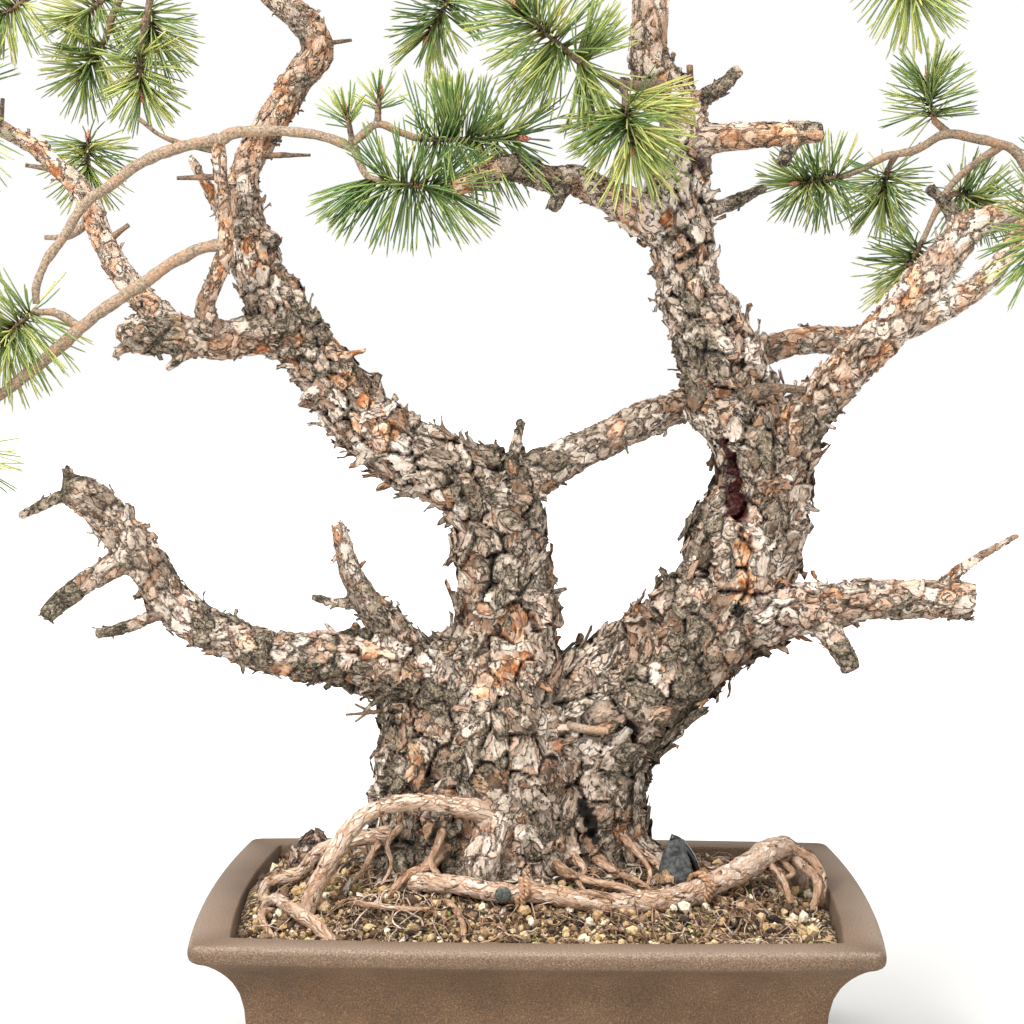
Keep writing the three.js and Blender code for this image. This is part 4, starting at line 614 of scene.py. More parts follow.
limbRoutes = {
    "leftLow": [[-74, -10, 264, 31], [-91, -12, 278, 22], [-130, -16, 286, 17], [-162, -20, 287, 14.3],
                [-191, -24, 295, 13], [-219, -28, 308, 12.3], [-238, -30, 324, 12.9], [-251, -32, 344, 12.9],
                [-263, -34, 360, 12.9], [-279, -37, 380, 12.2], [-294, -40, 393, 10.5], [-302, -42, 397, 8.5]],
    "leftLowEnd": [[-292, -40, 393, 7], [-306, -43, 392, 4], [-320, -46, 385, 3.2], [-332, -48, 379, 2.9]],
    "leftLowFork": [[-258, -34, 357, 10], [-268, -37, 350, 8], [-285, -40, 340, 7.2], [-303, -44, 327, 7],
                    [-316, -46, 315, 5.8]],
    "leftLowTwig": [[-236, -30, 322, 7], [-248, -32, 315, 4.5], [-267, -36, 307, 3.9], [-285, -40, 303, 3.2]],
    "leftLowTip": [[-298, -41, 393, 6], [-301, -41, 403, 4], [-301, -40, 411, 2.6]],
    "leftShort": [[-88, -12, 286, 18], [-98, -18, 306, 13], [-110, -20, 321, 9.7], [-121, -24, 341, 7.8],
                  [-127, -26, 360, 6.5], [-130, -27, 374, 5]],
    "leftShortTwig": [[-112, -21, 323, 5], [-126, -24, 322, 3.9], [-147, -28, 327, 2.6]],
    "leftMain": [[-33, 5, 386, 26], [-49, 4, 398, 25], [-70, 3, 410, 23], [-98, 2, 426, 20.3],
                 [-121, 0, 446, 19], [-138, -2, 468, 18.3], [-154, -4, 488, 17.6], [-169, -4, 512, 16.9],
                 [-182, -4, 532, 15.6], [-189, -3, 556, 14.3], [-194, -2, 577, 13], [-194, 0, 598, 11],
                 [-183, 4, 622, 10.4], [-172, 8, 641, 9.8], [-161, 10, 660, 10.2], [-147, 12, 681, 10.4],
                 [-152, 12, 695, 9.8], [-171, 14, 713, 9.4], [-188, 14, 733, 8.4], [-197, 8, 756, 7],
                 [-193, 2, 778, 5.4], [-186, 0, 794, 4]],
    "leftMainSpur": [[-195, -3, 566, 9], [-205, -10, 574, 5.8], [-217, -16, 593, 3.9], [-226, -20, 610, 2.2]],
    "leftMainPegA": [[-184, 2, 612, 4], [-150, -2, 612, 1.6]],
    "leftMainPegB": [[-150, 11, 684, 4], [-124, 8, 687, 1.4]],
    "knot": [[-155, -4, 489, 15.6], [-168, -10, 495, 13.6], [-188, -18, 495, 11.6], [-209, -24, 492, 11.6],
             [-235, -26, 495, 11.6], [-258, -24, 495, 10.9], [-268, -22, 501, 8.4]],
    "knotPegA": [[-258, -24, 492, 5], [-275, -27, 482, 2.6]],
    "knotPegB": [[-222, -25, 488, 5], [-240, -31, 473, 2.6]],
    "leftBack": [[-230, -18, 498, 9.7], [-245, -4, 504, 9.1], [-264, 14, 521, 8.6], [-283, 28, 543, 8],
                 [-295, 38, 565, 8], [-307, 48, 589, 7.4], [-324, 54, 606, 6.1], [-342, 58, 621, 5.4],
                 [-366, 60, 634, 5], [-384, 60, 648, 4], [-392, 60, 660, 3.2]],
    "leftBackTwig": [[-300, 42, 574, 4], [-316, 40, 561, 2.4], [-332, 38, 560, 1.8]],
    "leftBackPeg": [[-366, 60, 632, 3.5], [-364, 60, 654, 2]],
    "frontRise": [[-212, -22, 490, 10], [-213, -40, 514, 6.4], [-203, -48, 536, 5.7], [-198, -52, 555, 5],
                  [-200, -55, 580, 5], [-201, -57, 601, 4.7], [-203, -58, 620, 4.2]],
    "archRight": [[-203, -58, 615, 4], [-193, -58, 621, 3.7], [-182, -58, 622, 3.7], [-157, -58, 622, 3.4],
                  [-132, -58, 618, 3.1], [-116, -58, 611, 3]],
    "archRightUp": [[-119, -58, 614, 2.8], [-110, -59, 622, 2.6], [-102, -60, 627, 2.4],
                    [-91, -58, 623, 2.2], [-77, -55, 618, 2]],
    "archRightDown": [[-117, -58, 613, 2.8], [-113, -59, 602, 2.6], [-108, -61, 594, 2.2], [-99, -62, 591, 2]],
    "archLeft": [[-202, -58, 617, 4], [-226, -60, 612, 3.7], [-250, -62, 602, 3.4], [-269, -64, 588, 3.4],
                 [-285, -65, 576, 3.3], [-297, -66, 557, 3.1], [-309, -67, 540, 2.8], [-315, -68, 524, 2.5],
                 [-315, -68, 514, 2.2]],
    "frontPeg": [[-201, -56, 594, 4], [-228, -59, 593, 1.8]],
    "twigTwo": [[-199, -52, 552, 5], [-211, -54, 550, 3.8], [-227, -56, 543, 3.8], [-251, -60, 526, 3.8],
                [-276, -64, 509, 3.8], [-300, -68, 488, 3.8], [-318, -72, 472, 3.7], [-337, -75, 457, 3.5],
                [-360, -76, 442, 3], [-380, -74, 436, 2.5]],
    "twigTwoSide": [[-288, -66, 499, 3], [-302, -66, 508, 2.4], [-317, -68, 509, 2]],
    "twigTwoEnd": [[-352, -76, 447, 3], [-362, -80, 428, 2.2]],
    "connector": [[-27, 6, 393, 22], [-13, 10, 401, 15.8], [7, 14, 411, 11.9], [33, 18, 424, 10.9],
                  [60, 24, 437, 11.3], [83, 30, 446, 10.6], [100, 36, 452, 10], [124, 44, 467, 9.4],
                  [145, 48, 483, 9.4], [168, 52, 491, 8.7], [188, 56, 494, 8.8], [209, 58, 494, 10.1],
                  [229, 60, 498, 8.8], [249, 62, 505, 8.8], [270, 66, 515, 9.2], [292, 72, 528, 8.6],
                  [312, 80, 546, 7.2], [326, 88, 570, 5.8], [332, 93, 596, 4.6], [334, 96, 616, 4]],
    "deadStub": [[-21, -2, 392, 7], [-17, -4, 418, 3.9], [-12, -6, 441, 2.9]],
    "rightTop": [[120, -1, 474, 26], [107, -2, 503, 22.1], [98, -2, 523, 20.1], [93, -2, 542, 18.8],
                 [91, -2, 563, 21], [90, 0, 587, 20.1], [90, 2, 602, 18.2], [92, 4, 617, 17.5],
                 [94, 5, 630, 14.9], [88, 6, 646, 14.3], [74, 8, 663, 14], [68, 8, 677, 13], [69, 8, 693, 11.7],
                 [70, 8, 713, 10.4], [72, 8, 736, 9], [66, 4, 758, 7.2], [55, 0, 778, 5.6], [48, -2, 793, 4.2]],
    "centreBranch": [[80, -6, 568, 17], [67, -16, 570, 12.8], [50, -26, 581, 10.8], [35, -34, 588, 9.5],
                     [21, -42, 594, 8.8], [5, -50, 593, 7.8], [-15, -58, 600, 8.1], [-31, -64, 597, 7.5],
                     [-45, -70, 590, 6.2], [-55, -73, 586, 5]],
    "centrePeg": [[19, -43, 594, 7.5], [13, -54, 586, 5.3], [7, -64, 575, 4.4]],
    "pegA": [[92, 3, 640, 10], [103, -2, 649, 5.8], [113, -6, 655, 5.2], [127, -10, 667, 3.9]],
    "pegB": [[93, 8, 646, 4], [96, 10, 657, 2.4], [96, 12, 672, 2]],
    "pegC": [[94, 2, 619, 14], [107, -2, 623, 9.7], [128, -8, 624, 8.4], [159, -14, 626, 7.7],
             [180, -18, 627, 6.4]],
    "pegCSide": [[161, -14, 622, 6], [157, -24, 613, 4.8], [153, -32, 606, 4.4]],
    "pegD": [[98, 0, 575, 9], [113, 4, 579, 5.2], [129, 8, 585, 4.6], [147, 12, 594, 3.3]],
    "pegE": [[134, -22, 459, 6], [152, -28, 463, 2.9], [170, -32, 462, 2.2]],
    "rightLow": [[112, -5, 304, 27], [134, -12, 311, 20.2], [163, -18, 319, 17.5], [188, -22, 322, 14.9],
                 [213, -25, 327, 12.3], [245, -28, 328, 11.6], [279, -30, 327, 11.6]],
    "rightLowTwig": [[256, -29, 327, 7], [264, -30, 342, 3.9], [279, -32, 354, 2.9], [295, -34, 364, 2.6],
                     [306, -36, 371, 2.2]],
    "rightLowPeg": [[180, -22, 316, 10], [192, -34, 299, 7.1], [201, -42, 284, 6.4]],
    "rightUpper": [[146, -4, 396, 21], [161, -14, 422, 16.8], [169, -20, 442, 15.5], [183, -24, 459, 14.1],
                   [201, -28, 480, 13.4], [219, -30, 499, 13.4], [233, -32, 517, 13.4], [249, -34, 536, 12.1],
                   [261, -36, 553, 10.8], [270, -38, 565, 10.1], [286, -40, 572, 8.2], [304, -42, 578, 6.3],
                   [330, -42, 586, 5], [356, -38, 596, 4.2], [376, -32, 608, 3.4]],
    "rightUpperPeg": [[268, -38, 562, 8], [254, -42, 581, 4.4], [243, -46, 590, 3.6]],
    "rightBackA": [[333, 95, 612, 3.8], [324, 97, 625, 3.4], [314, 98, 629, 3.4], [298, 100, 633, 3.2],
                   [278, 102, 636, 3], [257, 104, 625, 2.8], [238, 106, 621, 2.6], [221, 104, 612, 2.4],
                   [205, 94, 606, 2.1]],
    "rightBackB": [[316, 98, 628, 3], [298, 100, 616, 2.6], [282, 100, 601, 2.4], [273, 98, 586, 2.2],
                   [262, 96, 562, 2]],
}

twigRoutes = {
    "leftBackOne": [[-190, 13, 738, 6], [-222, 50, 756, 4.8], [-256, 86, 752, 4.2], [-288, 106, 740, 3.4],
                    [-302, 112, 730, 2.6]],
    "leftBackTwo": [[-250, 80, 753, 3.4], [-268, 96, 735, 2.8], [-272, 102, 722, 2.2]],
    "leftBackThree": [[-262, 90, 748, 3.2], [-270, 94, 722, 2.6], [-276, 97, 698, 2.2], [-278, 99, 688, 2]],
    "leftBackFour": [[-286, 104, 740, 3], [-298, 108, 716, 2.6], [-304, 110, 698, 2.2]],
    "leftBackFive": [[-306, 48, 586, 4], [-311, 72, 594, 2.8], [-314, 92, 604, 2.2]],
    "leftBackSix": [[-258, 84, 752, 3.4], [-300, 72, 744, 2.8], [-336, 64, 728, 2.2], [-348, 62, 720, 2]],
    "leftFrontOne": [[-196, 9, 752, 5], [-213, -18, 770, 3.6], [-232, -38, 784, 2.6]],
    "leftFrontTwo": [[-212, -17, 769, 3], [-208, -42, 782, 2.2]],
    "leftTopRight": [[-194, 4, 772, 4.4], [-168, -6, 784, 3.2], [-146, -14, 788, 2.4]],
    "leftTopBack": [[-195, 6, 762, 4.4], [-190, 32, 778, 3], [-186, 50, 788, 2.2]],
    "leftFar": [[-374, 60, 640, 4], [-382, 48, 632, 2.2]],
    "topLeftOne": [[68, 5, 752, 6], [30, 34, 768, 4.4], [-10, 56, 762, 3.8], [-46, 66, 744, 3],
                   [-60, 70, 728, 2.2]],
    "topLeftTwo": [[-40, 64, 748, 3], [-60, 60, 758, 2.2]],
    "topRightOne": [[71, 7, 742, 6], [110, -16, 764, 4.6], [160, -30, 768, 3.8], [204, -38, 756, 3],
                    [222, -40, 744, 2.2]],
    "topRightTwo": [[158, -29, 768, 3.2], [166, -26, 784, 2.2]],
    "topRightThree": [[200, -37, 758, 3], [224, -28, 762, 2.2]],
    "topBackOne": [[66, 5, 756, 5], [100, 32, 776, 4.2], [146, 58, 782, 3.4], [184, 74, 778, 2.4]],
    "topBackTwo": [[98, 31, 775, 3.6], [84, 58, 790, 2.2]],
    "topBackThree": [[144, 57, 782, 3], [148, 84, 780, 2.2]],
    "topFrontOne": [[56, 0, 774, 4.6], [24, -28, 790, 3.4], [-8, -46, 796, 2.4]],
    "topFrontTwo": [[28, -25, 788, 3], [36, -50, 794, 2.2]],
    "centreTop": [[78, 2, 658, 6], [64, -22, 655, 3.4], [49, -40, 654, 3], [27, -55, 664, 2.6],
                  [18, -58, 670, 2.2]],
    "centreTopDown": [[50, -39, 654, 3], [52, -54, 645, 2.3], [52, -60, 638, 2]],
    "rightFarOne": [[356, -38, 596, 4], [362, -60, 606, 2.2]],
    "rightFarTwo": [[358, -38, 597, 4], [368, -10, 608, 2.2]],
    "rightFarThree": [[312, -42, 580, 5], [318, -52, 574, 2.4]],
    "rightBackC": [[280, 102, 636, 3], [270, 106, 646, 2.2]],
    "rightBackD": [[331, 93, 596, 4], [350, 108, 612, 2.2]],
    "rightBackE": [[276, 99, 592, 2.6], [287, 107, 596, 2]],
    "rightBackF": [[244, 106, 622, 2.6], [240, 116, 612, 2]],
    "youngLeft": [[-118, -58, 612, 2.6], [-119, -61, 622, 1.8]],
    "youngRight": [[-102, -60, 626, 2.4], [-102, -61, 634, 1.8]],
}

rootRoutes = {
    "archRoot": [[-27, -48, 188, 10], [-43, -62, 196, 7], [-62, -67, 200, 5.7], [-87, -68, 200, 5.4],
                 [-106, -70, 195, 5.4], [-121, -74, 181, 5.7], [-130, -78, 166, 5.7], [-140, -80, 148, 5.7],
                 [-146, -82, 128, 5]],
    "kneeRoot": [[-27, -48, 188, 9], [-29, -62, 179, 11], [-33, -70, 167, 11.6], [-35, -74, 152, 9.4],
                 [-37, -78, 138, 6.5]],
    "frontRoot": [[-104, -40, 124, 5], [-86, -58, 145, 6.2], [-68, -77, 152, 6.4], [-42, -88, 151, 6],
                  [-20, -92, 149, 6.2],
                  [2, -93, 149, 6.2], [27, -93, 145, 6.5], [52, -88, 142, 6.9], [84, -74, 142, 7.3],
                  [111, -52, 146, 7.7], [135, -26, 151, 8.1], [155, 4, 157, 8.3], [168, 22, 152, 8],
                  [176, 36, 131, 7.8], [174, 42, 112, 6]],
    "edgeRoot": [[-60, -40, 128, 9], [-120, -50, 112, 7], [-162, -50, 110, 5], [-174, -52, 122, 4],
                 [-173, -55, 132, 3.6], [-167, -60, 136, 3.8], [-156, -78, 135, 4.1], [-139, -98, 130, 4.4],
                 [-124, -114, 121, 4]],
    "sideRoot": [[-56, -18, 178, 9], [-80, -26, 173, 7], [-112, -34, 171, 5.2], [-135, -34, 165, 4.6],
                 [-142, -34, 161, 4.5],
                 [-149, -34, 153, 4.5], [-155, -34, 147, 4.2], [-166, -34, 144, 3.9], [-176, -34, 140, 3.6],
                 [-178, -34, 124, 3.2]],
    "backRoot": [[0, 50, 150, 16], [24, 86, 138, 9], [52, 106, 126, 7], [66, 112, 108, 5]],
}
flareRoutes = {
    "rightFlare": [[52, -10, 160, 18], [86, -14, 142, 10], [104, -18, 120, 7]],
    "leftFlare": [[-92, 14, 156, 16], [-118, 24, 142, 9], [-140, 30, 118, 6]],
    "backFlare": rootRoutes["backRoot"][:3],
}

limbFrames = []  # every limb in samples: middle, radius, way, side, other side, distance along, limb number


def gatherLimb(route, sides, flatten=1.0):
    samples = followRoute(route, 4)
    ways, across, other = frameRoute(samples)
    number = np.full(len(samples), float(len(limbFrames)))
    limbFrames.append(np.column_stack([samples, ways, across, other, alongRoute(samples), number])[::2])
    return *tube(samples, sides, flatten), {}


def layOut(points):  # wood thickness, way of the wood and place on the limb laid out straight, in mm
    table = np.concatenate(limbFrames)
    middle, radius = table[:, :3], table[:, 3]
    chosen = []
    swayed = points + 4 * np.stack([softNoise(points, 9, seed) for seed in (5, 6, 7)], axis=1)
    for start in range(0, len(points), 4000):
        block = swayed[start:start + 4000]
        apart = (block ** 2).sum(axis=1)[:, None] - 2 * block @ middle.T + (middle ** 2).sum(axis=1)
        chosen.append((np.sqrt(apart.clip(0)) - radius).argmin(axis=1))
    near = table[np.concatenate(chosen)]
    reach = points - near[:, :3]
    way, side, other = near[:, 4:7], near[:, 7:10], near[:, 10:13]
    place = np.stack([(reach * side).sum(axis=1) + near[:, 14] * 400, (reach * other).sum(axis=1),
                      near[:, 13] + (reach * way).sum(axis=1)], axis=1)
    return near[:, 3], way, place


def remeshed(name, parts, voxel):  # joins overlapping tubes into one skin
    points, faces, _ = joinParts(parts)
    rough = putInScene(name, plainMesh(name, points, faces))
    join = rough.modifiers.new("join", "REMESH")
    join.mode, join.voxel_size, join.adaptivity = "VOXEL", voxel * mm, 0.0
    ease = rough.modifiers.new("ease", "SMOOTH")
    ease.factor, ease.iterations = 0.5, 4
    shaped = rough.evaluated_get(bpy.context.evaluated_depsgraph_get()).to_mesh()
    count = len(shaped.vertices)
    place, facing = np.empty(count * 3), np.empty(count * 3)
    shaped.vertices.foreach_get("co", place)
    shaped.vertex_normals.foreach_get("vector", facing)
    skinFaces = [tuple(face.vertices) for face in shaped.polygons]
    bpy.data.objects.remove(rough)
    return place.reshape(-1, 3) / mm, facing.reshape(-1, 3), skinFaces


def spacedSeeds(points, spacing, tries, draw):  # indices of points that keep their spacing from each other
    size = float(spacing.max())
    neighbours = list(itertools.product((-1, 0, 1), repeat=3))
    taken, kept = {}, []
    for index in draw.permutation(len(points))[:tries]:
        x, y, z = points[index]
        room = spacing[index] ** 2
        cell = (int(x // size), int(y // size), int(z // size))
        nearby = (taken.get((cell[0] + dx, cell[1] + dy, cell[2] + dz), ()) for dx, dy, dz in neighbours)
        others = itertools.chain.from_iterable(nearby)
        if all((a - x) ** 2 + (b - y) ** 2 + (c - z) ** 2 >= room for a, b, c in others):
            taken.setdefault(cell, []).append((x, y, z))
            kept.append(index)
    return np.array(kept)


def twoNearest(points, seeds):  # the seed each point belongs to, and how far it is inside that seed's cell
    search = kdtree.KDTree(len(seeds))
    for number, seed in enumerate(seeds):
        search.insert(seed, number)
    search.balance()
    owner, inside = np.empty(len(points), np.int64), np.empty(len(points))
    for i, point in enumerate(points):
        first, second = search.find_n(point, 2)
        owner[i] = first[1]
        inside[i] = second[2] - first[2]
    return owner, inside


# places on the skin with a mark of their own: [x, y, z], reach, attribute, amount. A crevice mark paints a place
# darker, as dark bark and painted shade in its hollows and cracks
marks = [
    ((-54, -75, 586), 14, "inner", 1.6), ((-8, -36, 291), 9, "inner", 0.8),
    ((-17, -40, 284), 10, "inner", 0.85), ((-26, -44, 276), 9, "inner", 0.85),
    ((-36, -47, 268), 8, "inner", 0.7), ((4, -32, 296), 7, "inner", 0.6), ((-14, -38, 292), 5, "resin", 0.35),
    ((-22, -42, 281), 6, "resin", 0.35), ((-31, -46, 272), 5, "resin", 0.3), ((121, -17, 428), 8, "resin", 1.0),
    ((122, -18, 419), 9, "resin", 1.0), ((124, -20, 410), 9, "resin", 1.0),
    ((125, -23, 401), 9.5, "resin", 1.0), ((126, -25, 392), 10, "resin", 1.0),
    ((127, -28, 383), 9.5, "resin", 1.0), ((128, -29, 375), 8, "resin", 0.9),
    ((115, -15, 427), 6, "creviceDarkAndShade", 0.9), ((117, -14, 412), 5, "creviceDarkAndShade", 0.8),
    ((119, -17, 396), 5, "creviceDarkAndShade", 0.7), ((130, -30, 366), 8, "inner", 0.9),
    ((132, -31, 355), 9, "inner", 0.9), ((133, -32, 343), 9, "inner", 0.9), ((131, -31, 331), 8, "inner", 0.8),
    ((128, -32, 319), 7, "creviceDarkAndShade", 0.7), ((102, -12, 606), 8, "resin", 0.9),
    ((107, -10, 600), 7, "inner", 0.9), ((109, -5, 584), 7, "inner", 0.9), ((-126, -18, 467), 8, "inner", 0.8),
    ((-113, -16, 454), 8, "inner", 0.9), ((-97, -16, 434), 9, "inner", 0.8),
    ((-187, -17, 553), 9, "inner", 0.8), ((-180, -17, 543), 8, "inner", 0.8),
    ((-30, -70, 186), 9, "inner", 0.5), ((29, -42, 196), 5, "creviceDarkAndShade", 1.0),
    ((31, -42, 190), 6.5, "creviceDarkAndShade", 1.0), ((34, -42, 184), 7, "creviceDarkAndShade", 1.0),
    ((37, -42, 177), 6.5, "creviceDarkAndShade", 1.0), ((39, -40, 171), 5, "creviceDarkAndShade", 0.9),
    ((52, -34, 250), 6, "creviceDarkAndShade", 0.6), ((58, -34, 243), 6, "creviceDarkAndShade", 0.8),
    ((63, -33, 234), 6, "creviceDarkAndShade", 0.9), ((67, -32, 226), 5, "creviceDarkAndShade", 0.8),
    ((-22, -30, 345), 34, "crust", 0.35), ((-18, -28, 318), 24, "crust", 0.3),
    ((-112, -18, 300), 16, "crust", 0.3), ((-252, -34, 345), 14, "crust", 0.5),
    ((-186, -14, 500), 18, "crust", 0.45), ((-308, -44, 322), 24, "crust", 1.0),
    ((-280, -40, 304), 20, "crust", 0.9), ((136, 9, 588), 22, "crust", 0.8),
    ((-68, -50, 166), 26, "creviceDarkAndShade", 0.55), ((-100, -18, 322), 12, "crust", 0.5),
    ((-146, -28, 327), 10, "crust", 0.9), ((-14, -5, 432), 22, "crust", 0.3),
    ((110, -6, 486), 18, "crust", 0.35), ((86, -14, 560), 15, "crust", 0.5),
    ((-76, -44, 205), 26, "creviceDarkAndShade", 0.42), ((-84, -40, 172), 22, "creviceDarkAndShade", 0.4),
    ((62, -20, 222), 12, "creviceDarkAndShade", 0.6), ((-63, -42, 262), 14, "crust", 0.6),
    ((150, -20, 430), 16, "crust", 0.4), ((60, -40, 210), 34, "crust", 0.3),
    ((-76, -44, 215), 32, "crust", 0.35), ((10, -40, 330), 20, "crust", 0.4),
    ((115, -6, 657), 18, "crust", 1.0), ((160, -12, 626), 34, "crust", 0.42),
    ((155, -29, 609), 14, "crust", 0.9), ((250, -44, 584), 20, "crust", 1.0), ((9, -61, 579), 18, "crust", 1.0),
    ((-16, -58, 600), 20, "crust", 0.5), ((195, -38, 292), 14, "crust", 0.7),
    ((-302, -40, 398), 14, "crust", 0.7), ((-240, -26, 494), 26, "crust", 0.45),
    ((118, -22, 318), 22, "crust", 0.2), ((30, -40, 300), 18, "crust", 0.3),
    ((150, -16, 395), 18, "crust", 0.3),
]
# dents and lumps of the trunk: [x, y, z], reach, depth (a lump is below zero)
dents = [
    ((30, -46, 192), 7, 9), ((34, -46, 184), 8, 11), ((38, -45, 176), 7, 9), ((55, -36, 246), 7, 6),
    ((63, -35, 235), 8, 9), ((67, -34, 225), 7, 8), ((-70, -48, 212), 16, 5), ((-78, -40, 176), 14, 6),
    ((30, -44, 268), 22, -6), ((72, -34, 268), 24, -7), ((-62, -46, 262), 14, -6), ((-10, -52, 232), 30, -4),
    ((123, -20, 410), 9, 5), ((127, -27, 385), 9, 5), ((-40, -58, 150), 20, -6), ((118, -30, 300), 18, -5),
    ((96, -36, 268), 16, -4), ((48, -50, 160), 16, -5),
]


def layPlates(warped, radii, strength, draw, peel):  # peel: the share of plates that have gone
    height, tone, creviceDarkAndShade = np.zeros(len(warped)), np.zeros(len(warped)), np.zeros(len(warped))
    plateEdge = np.full(len(warped), 99.0)
    for share, low, high, amount, gapWidth in wood["plates"]:
        large = amount == 1
        spacing = np.clip(1.5 + radii * share, low, high)
        kept = spacedSeeds(warped, spacing, 24000, draw)
        owner, inside = twoNearest(warped, warped[kept])
        slope = unit(draw.normal(size=(len(kept), 3)))[owner]
        offset = ((warped - warped[kept][owner]) * slope).sum(axis=1) / spacing[kept][owner]
        step = draw.uniform(-0.5, 1.0, len(kept))[owner]
        groove = 1 - smoothStep(inside, 0.15, gapWidth)
        curled = smoothStep(-inside, -7, -gapWidth) * wood["curlUp"]
        height += strength * amount * (wood["plateLift"] * step + wood["plateTilt"] * offset + curled
                                       - wood["gapDepth"] * groove)
        tone += draw.uniform(0, 1, len(kept))[owner] * (0.7 if large else 0.3)
        # the gaps between plates are painted dark: dark bark and painted shade
        creviceDarkAndShade += groove * (0.8 if large else 0.3)
        plateEdge = np.minimum(plateEdge, inside / 2 + (0 if large else 1.7))
        if large:
            bare = (draw.uniform(0, 1, len(kept)) < peel)[owner]
            shift = draw.uniform(0, 9, len(kept))[owner]  # layers of one plate don't meet those of the next
    return height, tone, creviceDarkAndShade, plateEdge, bare, shift


def applyMarks(points, values):  # gives back where flakes may grow
    covered = points[:, 2] > 140  # mm: none in the soil
    for middle, reach, key, amount in marks:
        away = np.linalg.norm(points - middle, axis=1) + 2.2 * softNoise(points, 4, 35)
        values[key] = np.maximum(values[key], amount * smoothStep(-away, -reach, -reach * 0.55))
        if key in ("inner", "resin"):
            values["creviceDarkAndShade"] *= 1 - 0.6 * smoothStep(-away, -reach, -reach * 0.5)
            values["crust"] -= 0.5 * smoothStep(-away, -reach, -reach * 0.5)
            covered &= away > reach * 0.75
        elif key == "crust" and amount >= 0.7:
            values["inner"] *= 1 - smoothStep(-away, -reach, -reach * 0.5)
    return covered


def barkSkin(points, normals, draw, peel):
    radii, ways, place = layOut(points)
    strength = np.clip((radii - 2) / 26, 0.14, 1.0)  # thin wood has a finer relief
    swell = softNoise(points, 34, 3) * wood["burl"] * strength
    swell = swell + softNoise(points, 13, 4) * wood["lumps"] * strength
    shaped = points + normals * swell[:, None]
    for middle, reach, depth in dents:
        away = np.linalg.norm(points - middle, axis=1)
        shaped -= normals * (depth * smoothStep(-away, -reach, -reach * 0.25))[:, None]

    # plates of bark: each sits a little high or low and tilts its own way, with its edge curled up over a gap
    warp = np.stack([4.4 * softNoise(place, 15, seed) + 1.9 * softNoise(place, 5.5, seed + 3)
                     for seed in (11, 12, 13)], axis=1)
    warped = place + warp * (0.4 + 0.6 * strength)[:, None]
    warped[:, 2] *= 0.6 + 0.3 * strength
    height, tone, creviceDarkAndShade, plateEdge, bare, shift = layPlates(warped, radii, strength, draw, peel)

    # ledges: the layers of the bark worn back in steps
    ledge = 1.9 * softNoise(place * (1, 1, 0.6), 24, 17) + 0.8 * softNoise(place, 10, 18) + shift
    layer = np.floor(ledge)
    worn = layer + smoothStep(ledge - layer, 0, 0.2) - shift - 0.5
    height += strength * wood["ledgeHeight"] * worn
    height += 0.35 * strength * softNoise(shaped, 3.4, 21) - np.where(bare, 1.5, 0.0) * strength
    shaped = shaped + normals * height[:, None]

    # what the material reads: the right stem is paler, more so near its top, and thin wood is warm and smooth
    right = smoothStep(points[:, 0], 30, 80)
    pale = right * (0.22 * smoothStep(points[:, 2], 250, 330) + 0.9 * smoothStep(points[:, 2], 455, 540))
    pale = pale + 0.5 * (radii < 23) * (1 - 0.6 * right)
    thin = smoothStep(-radii, -21, -8)
    creviceDarkAndShade = creviceDarkAndShade * (1 - 0.8 * thin)
    tone = tone * (1 - 0.5 * thin) + 0.16 * thin + 0.2 * softNoise(points, 50, 33) + 0.26 * pale
    warm = 0.54 * thin * smoothStep(points[:, 2], 380, 480) * smoothStep(softNoise(points, 12, 36), -0.4, 0.3)
    crust = 0.36 * softNoise(points, 42, 31) + 0.3 * softNoise(points, 12, 32) + 0.1 * np.clip(height, -1, 1.5)
    values = {
        "barkPlace": place, "ledge": ledge, "plateEdge": plateEdge + 0.75 * thin,
        "plateTone": np.clip(tone, 0, 1.05), "creviceDarkAndShade": np.clip(creviceDarkAndShade - 0.12, 0, 1),
        "crust": np.clip(crust + 0.15 - 0.35 * bare - 0.25 * pale, -0.4, 0.6), "resin": np.zeros(len(points)),
        "inner": np.where(bare, 0.55, 0.0) + 0.3 * smoothStep(creviceDarkAndShade, 0.15, 0.6) + warm,
    }
    covered = applyMarks(points, values)
    covered &= draw.uniform(0, 1, len(points)) > 0.55 * right * smoothStep(points[:, 2], 455, 520)
    covered &= np.linalg.norm(points - (34, -46, 185), axis=1) > 16  # none in the dark hollow
    return {"points": shaped, "normals": normals, "radii": radii, "ways": ways, "covered": covered, **values}


# bark flakes that lift off the skin: chips are small plates in stacks, curls are strips with a rolled end.
# Sizes in mm, roll in degrees.
flakes = {
    "trunkChips": {"count": 800, "stack": 2, "length": (10, 28), "width": (8, 18), "lift": (0.3, 3.6)},
    "limbChips": {"count": 1500, "stack": 1, "length": (9, 22), "width": (8, 15), "lift": (0.2, 2.4)},
    "trunkCurls": {"count": 430, "stack": 1, "length": (8, 18), "width": (5, 11), "roll": (6, 62)},
    "limbCurls": {"count": 1300, "stack": 1, "length": (7, 16), "width": (4, 9), "roll": (6, 78)},
}


